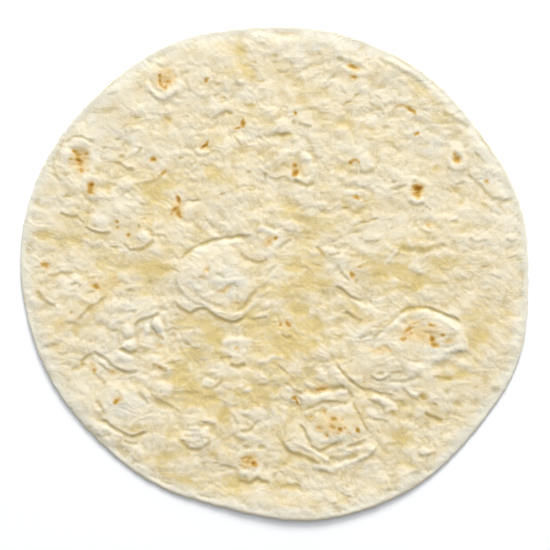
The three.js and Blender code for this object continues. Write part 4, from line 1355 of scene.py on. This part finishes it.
@dataclass(frozen=True)
class DoughFinish:
    """Baked flour dough: cream and matt, yellow where it is thin, brown where it is toasted, with painted
    shade in its creases, dimples and hollows.
    """

    name: str = "baked_dough"
    rim: Colour = (0.745, 0.715, 0.6)
    cream: Colour = (0.84, 0.775, 0.625)
    pale: Colour = (0.78, 0.72, 0.555)
    dough: Colour = (0.765, 0.675, 0.475)
    thin: Colour = (0.69, 0.545, 0.235)
    # Painted warm shade for the hollows
    hollow: Colour = (0.55, 0.43, 0.20)
    # Painted shade for creases and dimples: grey on pale dough, warm where it is thin
    grey_crease_shade: Colour = (0.44, 0.375, 0.205)
    warm_crease_shade: Colour = (0.47, 0.345, 0.11)
    halo: Colour = (0.73, 0.555, 0.29)
    orange: Colour = (0.51, 0.31, 0.07)
    brown: Colour = (0.30, 0.12, 0.004)
    roughness: float = 0.74
    specular: float = 0.18
    # Sizes of the noise, its turn, and the squeeze that draws it out along X
    turn: float = 14.0
    squeeze: tuple[float, float, float] = (0.8, 1.0, 1.0)
    tint: float = 11.0
    blotch: float = 4.5
    speckle: float = 2.0
    pore: float = 0.75
    patch: float = 9.0
    # Values between which each colour comes in, and how much of it at most
    pale_span: Span = (-1.1, -0.6)
    tint_span: Span = (0.35, 0.6)
    dough_span: Span = (-0.6, 0.35)
    thin_span: Span = (0.1, 1.0)
    cream_span: Span = (0.5, 0.95)
    cream_most: float = 0.58
    # Painted warm shade where the crest is low, and how much of it at most
    hollow_shade_span: Span = (0.05, 0.5)
    hollow_shade_most: float = 0.6
    # Painted crease shade: warmer where the dough is thin, gone beyond the span of the gap
    warm_shade_span: Span = (-0.2, 0.4)
    crease_shade_span: Span = (0.1, 1.2)
    halo_span: Span = (0.05, 0.4)
    orange_span: Span = (0.3, 0.7)
    brown_span: Span = (0.75, 1.3)
    # How far the noise moves each stain, and where it moves the toast
    crest_speckle: float = 0.1
    crest_pore: float = 0.8
    thin_blotch: float = 0.9
    toast_mottle: float = 1.1
    mottle_span: Span = (0.1, 0.8)
    # Gloss and fine relief
    gloss_span: Span = (0.2, 0.8)
    gloss_toast: float = 0.15
    gloss_pore: float = 0.15
    bump_height: float = 0.3
    bump_speckle: float = 0.62
    bump_pore: float = 0.75
    bump_patch: Span = (0.25, 0.7)
    bump_line: float = 0.25

    @staticmethod
    def _about(noise: Wire, swing: float) -> Wire:
        """Noise moved to lie about 0, times a swing."""
        return (noise - 0.5) * swing

    def make(self) -> bpy.types.Material:
        """Build the material's nodes.

        Returns:
            The material.
        """
        graph = ShaderGraph(self.name)
        place = graph.node("ShaderNodeTexCoord", {}, {}, "Object")
        lie = {"Vector": place, "Rotation": (0.0, 0.0, math.radians(self.turn)), "Scale": self.squeeze}
        drawn_out = graph.node("ShaderNodeMapping", {}, lie)
        tint = graph.noise(drawn_out, self.tint)
        blotch = graph.noise(drawn_out, self.blotch)
        speckle = graph.noise(place, self.speckle)
        pore = graph.noise(place, self.pore, detail=1.0)
        patch = graph.noise(drawn_out, self.patch, detail=1.0)
        mottle = graph.noise(drawn_out, self.speckle, wrinkle=0.0)
        crest = graph.stain(Stain.CREST)
        crest = crest + self._about(speckle, self.crest_speckle) + self._about(pore, self.crest_pore)
        thin = graph.stain(Stain.THIN) + self._about(blotch, self.thin_blotch)
        toast = graph.stain(Stain.TOAST)
        toast = toast + self._about(mottle, self.toast_mottle) * toast.ramp(*self.mottle_span)
        # Painted shade along creases and in dimples; the same mask also sinks the fine bump
        line = graph.stain(Stain.PAINTED_SHADE) * (1.0 - graph.stain(Stain.GAP).ramp(*self.crease_shade_span))
        paint = graph.mix(thin.ramp(*self.pale_span) * tint.ramp(*self.tint_span), self.rim, self.pale)
        paint = graph.mix(thin.ramp(*self.dough_span), paint, self.dough)
        paint = graph.mix(thin.ramp(*self.thin_span), paint, self.thin)
        paint = graph.mix(crest.ramp(*self.cream_span) * self.cream_most, paint, self.cream)
        # Painted warm shade in the hollows
        paint = graph.mix((1.0 - crest.ramp(*self.hollow_shade_span)) * self.hollow_shade_most, paint, self.hollow)
        # Colour of the painted crease shade, grey on pale dough and warm where it is thin
        crease = graph.mix(thin.ramp(*self.warm_shade_span), self.grey_crease_shade, self.warm_crease_shade)
        paint = graph.mix(line, paint, crease)
        paint = graph.mix(toast.ramp(*self.halo_span), paint, self.halo)
        paint = graph.mix(toast.ramp(*self.orange_span), paint, self.orange)
        paint = graph.mix(toast.ramp(*self.brown_span), paint, self.brown)
        gloss = self.roughness - toast.ramp(*self.gloss_span) * self.gloss_toast
        gloss = gloss + self._about(pore, self.gloss_pore)
        grain = (speckle * self.bump_speckle + pore * self.bump_pore) * patch.ramp(*self.bump_patch)
        relief = {"Distance": self.bump_height * MM, "Height": grain - line * self.bump_line}
        feeds = {
            "Base Color": paint,
            "Roughness": gloss,
            "Normal": graph.node("ShaderNodeBump", {}, relief, "Normal"),
            "Specular IOR Level": self.specular,
        }
        return graph.surface(feeds)


@dataclass(frozen=True)
class TortillaWrap:
    """The whole wrap as one closed mesh: upper face, rounded edge and underside."""

    LEVEL: ClassVar[float] = 0.5

    name: str = "tortilla_wrap"
    node: str = "tortilla"
    slot: str = "dough"
    cells: int = 272
    edge_steps: int = 5
    edge_roll: float = 1.6
    edge_low: float = 0.55
    edge_sag: float = 0.5
    curl_span: Span = (0.2, 1.1)
    underside_inset: float = 0.7
    relief_band: float = 3.6
    ragged: float = 0.28
    ragged_size: float = 5.0
    ragged_layers: int = 3
    ragged_band: float = 4.0
    crest_reach: int = 3
    crest_height: float = 0.25
    rim_thin: float = -1.1
    # Painted warm shade on the edge where it curls down, on the side away from the light
    near_edge_painted_shade: float = 1.1
    shape: DoughRound = DoughRound()
    upper: UpperFace = UpperFace()
    under: Underside = Underside()
    finish: DoughFinish = DoughFinish()

    @staticmethod
    def _disc(cells: int) -> tuple[Array, Array]:
        """Spread a square grid evenly over the unit disc.

        A point of the square goes to the circle whose radius is the larger of its two distances from
        the axes, and its share of the way along the square's side becomes an eighth of a turn. All is
        then turned by an eighth more, so that the square's corners lie along the axes.

        Args:
            cells: grid cells along a side, an even number.

        Returns:
            The radius from 0 to 1 and the angle of each grid point, row by row.
        """
        side = np.linspace(-1.0, 1.0, cells + 1)
        across, up = (grid.ravel() for grid in np.meshgrid(side, side))
        radius = np.maximum(np.abs(across), np.abs(up))
        safe = np.where(radius > 0.0, radius, 1.0)
        wide = np.abs(across) >= np.abs(up)
        eighth = TURN / 8.0 * np.where(wide, up * np.sign(across), across * np.sign(up)) / safe
        on_right = np.where(across < 0.0, 0.5 * TURN, 0.0) + eighth
        on_top = np.where(up < 0.0, -0.25 * TURN, 0.25 * TURN) - eighth
        return radius, np.where(wide, on_right, on_top) + TURN / 8.0

    @staticmethod
    def _border(cells: int) -> Array:
        """Numbers of the grid points along the square's border, anticlockwise from the lower right."""
        grid = np.arange((cells + 1) ** 2).reshape(cells + 1, cells + 1)
        return np.concatenate((grid[:-1, -1], grid[-1, :0:-1], grid[:0:-1, 0], grid[0, :-1]))

    @staticmethod
    def _squares(cells: int) -> Array:
        """The grid's faces.

        Args:
            cells: grid cells along a side.

        Returns:
            Four point numbers for each face, anticlockwise seen from above.
        """
        grid = np.arange((cells + 1) ** 2).reshape(cells + 1, cells + 1)
        corners = (grid[:-1, :-1], grid[:-1, 1:], grid[1:, 1:], grid[1:, :-1])
        return np.stack([corner.ravel() for corner in corners], axis=1)

    def _near(self, angle: Array) -> Array:
        """How far the edge curls down: nearly 1 at the photo's bottom, 0 on its upper half."""
        return ramp(*self.curl_span, -np.sin(angle))

    def _roll(self, angle: Array) -> Array:
        """How far in the edge turns over: half its thickness, and more where it curls down."""
        half = 0.5 * self.shape.edge
        return half + (self.edge_roll - half) * self._near(angle)

    def _place(self, angle: Array, from_edge: Array) -> tuple[Array, Array]:
        """Places on the round with its outline pushed in and out a little.

        The push is noise along the outline and dies away inwards.

        Args:
            angle: the angle of each place.
            from_edge: its distance in from the smooth outline.

        Returns:
            The places along +X and +Y.
        """
        outline_x, outline_y = self.shape.place(angle, np.zeros_like(angle))
        push = self.ragged * NOISE.layered(outline_x, outline_y, self.ragged_size, self.ragged_layers)
        fade = 1.0 - ramp(0.0, self.ragged_band, from_edge)
        return self.shape.place(angle, from_edge + push * fade)

    def _face_places(self, cells: int, inset: Callable[[Array], Array]) -> tuple[Array, Array]:
        """Places of a disc's grid points.

        Args:
            cells: grid cells along a side.
            inset: gives the distance of the grid's border from the edge at each angle.

        Returns:
            The angle and the distance in from the edge of each grid point.
        """
        radius, angle = self._disc(cells)
        border = inset(angle)
        return angle, border + (self.shape.radius(angle) - border) * (1.0 - radius)

    def build(self) -> bpy.types.Object:
        """Work out the mesh and put it in the scene.

        Returns:
            The wrap's object.
        """
        shape = self.shape
        half = 0.5 * shape.edge
        few = self.cells // 2

        angle, from_edge = self._face_places(self.cells, self._roll)
        x, y = self._place(angle, from_edge)
        top = self.upper.work_out(x, y)
        inside = shape.inside(from_edge)
        dough = shape.edge + (shape.dough - shape.edge) * inside
        relief = ramp(half, self.relief_band, from_edge) * top.height
        top_z = shape.lift(angle, from_edge) + dough + relief
        crest = self._crest(relief, self.cells)
        top_points = np.stack((x, y, top_z), axis=1)
        border = self._border(self.cells)

        edge_points = self._edge(angle[border], top_z[border])

        inset = half + self.underside_inset
        under_angle, under_in = self._face_places(few, lambda turn: np.full_like(turn, inset))
        under_x, under_y = self._place(under_angle, under_in)
        under = self.under.work_out(under_x, under_y)
        under_z = shape.lift(under_angle, under_in) + shape.inside(under_in) * under.height
        under_points = np.stack((under_x, under_y, under_z), axis=1)
        under_crest = self._crest(-under.height, few)

        points = np.concatenate((top_points, edge_points, under_points)) * MM
        squares, triangles = self._faces(len(top_points), len(edge_points), border, few)
        squares = self._short_split(points, squares)
        mesh = bpy.data.meshes.new(self.name)
        mesh.from_pydata(points.tolist(), [], squares.tolist() + triangles.tolist())
        mesh.shade_smooth()
        top_thin = top.thin * inside + self.rim_thin * (1.0 - inside)
        # The edge's stain: the pale rim, with painted warm shade added where the edge curls down away
        # from the light
        edge_thin_and_shade = np.tile(self.rim_thin + self.near_edge_painted_shade * self._near(angle[border]), self.edge_steps)
        bare = np.zeros(len(edge_points))
        self._keep(mesh, Stain.THIN, top_thin, edge_thin_and_shade, under.thin)
        self._keep(mesh, Stain.TOAST, top.toast, bare + DoughFace.RAW, under.toast)
        self._keep(mesh, Stain.GAP, top.gap, bare + DoughFace.FAR, under.gap)
        self._keep(mesh, Stain.PAINTED_SHADE, top.painted_shade, bare, under.painted_shade)
        self._keep(mesh, Stain.CREST, crest, bare + self.LEVEL, under_crest)
        piece = bpy.data.objects.new(self.name, mesh)
        bpy.context.scene.collection.objects.link(piece)
        return piece

    def _edge(self, angle: Array, start: Array) -> Array:
        """Rows of points round the edge, from below the upper face's border to the underside.

        Each side is a quarter of an oval. The upper one is drawn towards its chord where the edge curls
        down: its cosine and sine are taken to a power of 1 and a share of the sag.

        Args:
            angle: the angle of each border point.
            start: the height of each border point.

        Returns:
            The points, row after row.
        """
        half = 0.5 * self.shape.edge
        near = self._near(angle)
        tilt = math.pi * (0.5 - np.arange(1, self.edge_steps + 1) / self.edge_steps)[:, None]
        power = 1.0 + self.edge_sag * near
        out = np.maximum(np.cos(tilt), 0.0) ** power
        up = np.maximum(np.sin(tilt), 0.0) ** power
        below = self.shape.lift(angle, half)
        tip = below + half + (self.edge_low - half) * near
        upper = tilt > 0.0
        from_edge = np.where(upper, self._roll(angle) * (1.0 - out), half * (1.0 - np.cos(tilt)))
        height = np.where(upper, tip + (start - tip) * up, tip + (tip - below) * np.sin(tilt))
        x, y = self._place(np.broadcast_to(angle, from_edge.shape), from_edge)
        return np.stack((x, y, height), axis=2).reshape(-1, 3)

    def _crest(self, relief: Array, cells: int) -> Array:
        """How far each point of a face stands above those round it.

        The height less the softened height, as a share of the crest's full height.

        Args:
            relief: heights of a face's grid points.
            cells: cells along the grid's side.

        Returns:
            0 in a hollow, 0.5 on the level and 1 on a crest.
        """
        grid = relief.reshape(cells + 1, cells + 1)
        reach = max(1, round(self.crest_reach * cells / self.cells))
        stand = (grid - soften(grid, reach)).ravel()
        return np.clip(self.LEVEL + self.LEVEL * stand / self.crest_height, 0.0, 1.0)

    @staticmethod
    def _keep(mesh: bpy.types.Mesh, stain: Stain, *parts: Array) -> None:
        """Keep a stain on the mesh, from its parts in the order of the points."""
        kept = mesh.attributes.new(stain.value, "FLOAT", "POINT")
        kept.data.foreach_set("value", np.concatenate(parts).astype(np.float32))

    def _faces(self, top_count: int, edge_count: int, border: Array, few: int) -> tuple[Array, Array]:
        """Number the faces of the whole mesh.

        The edge is strips of squares from the upper border down. Below it each second point meets a
        point of the underside's coarser border, in three triangles.

        Args:
            top_count: points of the upper face.
            edge_count: points of the edge.
            border: the upper face's border points.
            few: cells along the underside's grid.

        Returns:
            Squares and triangles, as point numbers.
        """
        strips = np.vstack((border, top_count + np.arange(edge_count).reshape(self.edge_steps, -1)))
        turned = np.roll(strips, -1, axis=1)
        edge = np.stack((strips[:-1], strips[1:], turned[1:], turned[:-1]), axis=2).reshape(-1, 4)
        first_under = top_count + edge_count
        flat = first_under + self._squares(few)[:, ::-1]
        fine = strips[-1]
        coarse = first_under + self._border(few)
        start, middle, end = fine[0::2], fine[1::2], np.roll(fine, -2)[0::2]
        next_coarse = np.roll(coarse, -1)
        fans = ((start, coarse, middle), (middle, coarse, next_coarse), (middle, next_coarse, end))
        triangles = np.concatenate([np.stack(fan, axis=1) for fan in fans])
        return np.concatenate((self._squares(self.cells), edge, flat)), triangles

    @staticmethod
    def _short_split(points: Array, squares: Array) -> Array:
        """Start each square at a corner of its shorter diagonal, along which it is split in two.

        Args:
            points: the mesh's points.
            squares: four point numbers for each square.

        Returns:
            The squares, some of them started one corner later.
        """
        corner = points[squares]
        first = np.linalg.norm(corner[:, 0] - corner[:, 2], axis=1)
        second = np.linalg.norm(corner[:, 1] - corner[:, 3], axis=1)
        return np.where((second < first)[:, None], np.roll(squares, -1, axis=1), squares)

    def dress(self, piece: bpy.types.Object) -> None:
        """Give the wrap its finish and its place in the model.

        Args:
            piece: the wrap's object.
        """
        piece.data.materials.append(self.finish.make())
        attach(piece, "root")
        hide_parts(self.node)


@dataclass(frozen=True)
class SoftLight:
    """A soft box aimed at the wrap from the photo's top, a little to the right."""

    name: str
    tilt: float
    width: float
    height: float
    power: float
    turn: float = 9.0
    distance: float = 4.2
    paint: Colour = (1.0, 0.981, 0.945)

    def build(self) -> None:
        """Hang the light at its tilt above the table, at its turn, and face it to the origin."""
        lamp = bpy.data.lights.new(self.name, "AREA")
        lamp.shape = "RECTANGLE"
        lamp.size = self.width
        lamp.size_y = self.height
        lamp.energy = self.power
        lamp.color = self.paint
        hung = bpy.data.objects.new(self.name, lamp)
        tilt = math.radians(self.tilt)
        turn = math.radians(self.turn)
        level = math.cos(tilt)
        way = Vector((level * math.sin(turn), level * math.cos(turn), math.sin(tilt)))
        hung.location = self.distance * way
        hung.rotation_euler = hung.location.to_track_quat("Z", "Y").to_euler()
        bpy.context.scene.collection.objects.link(hung)


@dataclass(frozen=True)
class TableFinish:
    """A plain pale table top."""

    name: str = "white_table"
    paint: Colour = (0.945, 0.957, 0.975)
    roughness: float = 0.9

    def make(self) -> bpy.types.Material:
        """Build the material's nodes."""
        feeds = {"Base Color": (*self.paint, 1.0), "Roughness": self.roughness}
        return ShaderGraph(self.name).surface(feeds)


@dataclass(frozen=True)
class Studio:
    """White table, soft light from the photo's top, pale fill and a camera straight above."""

    floor_half: float = 4.0
    floor_height: float = -0.05 * MM
    floor_finish: TableFinish = TableFinish()
    lights: tuple[SoftLight, ...] = (
        SoftLight("key_light", tilt=26.0, width=1.6, height=1.2, power=150.7),
        SoftLight("soft_bank", tilt=28.0, width=5.5, height=4.0, power=136.0),
        SoftLight("overhead_bank", tilt=70.0, width=3.0, height=3.0, power=42.1),
    )
    fill_paint: Colour = (0.887, 0.926, 1.0)
    fill_strength: float = 0.328
    camera_height: float = 1.0
    sensor: float = 36.0

    def build(self) -> None:
        """Lay the floor and set up the lights, the view and the camera."""
        self._floor()
        self._lights()
        self._camera()
        bpy.context.scene.view_settings.view_transform = "Standard"

    def _floor(self) -> None:
        """Lay the table top."""
        reach = self.floor_half
        corners = ((-reach, -reach), (reach, -reach), (reach, reach), (-reach, reach))
        mesh = bpy.data.meshes.new("table_top")
        mesh.from_pydata([(x, y, self.floor_height) for x, y in corners], [], [(0, 1, 2, 3)])
        mesh.materials.append(self.floor_finish.make())
        floor = bpy.data.objects.new("table_top", mesh)
        bpy.context.scene.collection.objects.link(floor)

    def _lights(self) -> None:
        """The lights, and the even fill all round."""
        for light in self.lights:
            light.build()
        world = bpy.data.worlds.new("pale_fill")
        world.use_nodes = True
        background = world.node_tree.nodes["Background"]
        background.inputs["Color"].default_value = (*self.fill_paint, 1.0)
        background.inputs["Strength"].default_value = self.fill_strength
        bpy.context.scene.world = world

    def _camera(self) -> None:
        """A camera straight above the photo's middle, as wide as its frame."""
        middle = 0.5 * PHOTO.side
        x, y = PHOTO.place((middle, middle))
        lens = bpy.data.cameras.new("camera")
        lens.sensor_width = self.sensor
        lens.lens = self.sensor * self.camera_height / (PHOTO.side * PHOTO.scale * MM)
        camera = bpy.data.objects.new("camera", lens)
        camera.location = (x * MM, y * MM, self.camera_height)
        bpy.context.scene.collection.objects.link(camera)
        bpy.context.scene.camera = camera


def main() -> None:
    """Build the wrap and the studio, and report each piece."""
    logging.basicConfig(level=logging.INFO, format="%(message)s")
    wrap = TortillaWrap()
    piece = wrap.build()
    wrap.dress(piece)
    LOG.info("%s: %d vertices, %d faces", piece.name, len(piece.data.vertices), len(piece.data.polygons))
    Studio().build()


if __name__ == "__main__":
    main()
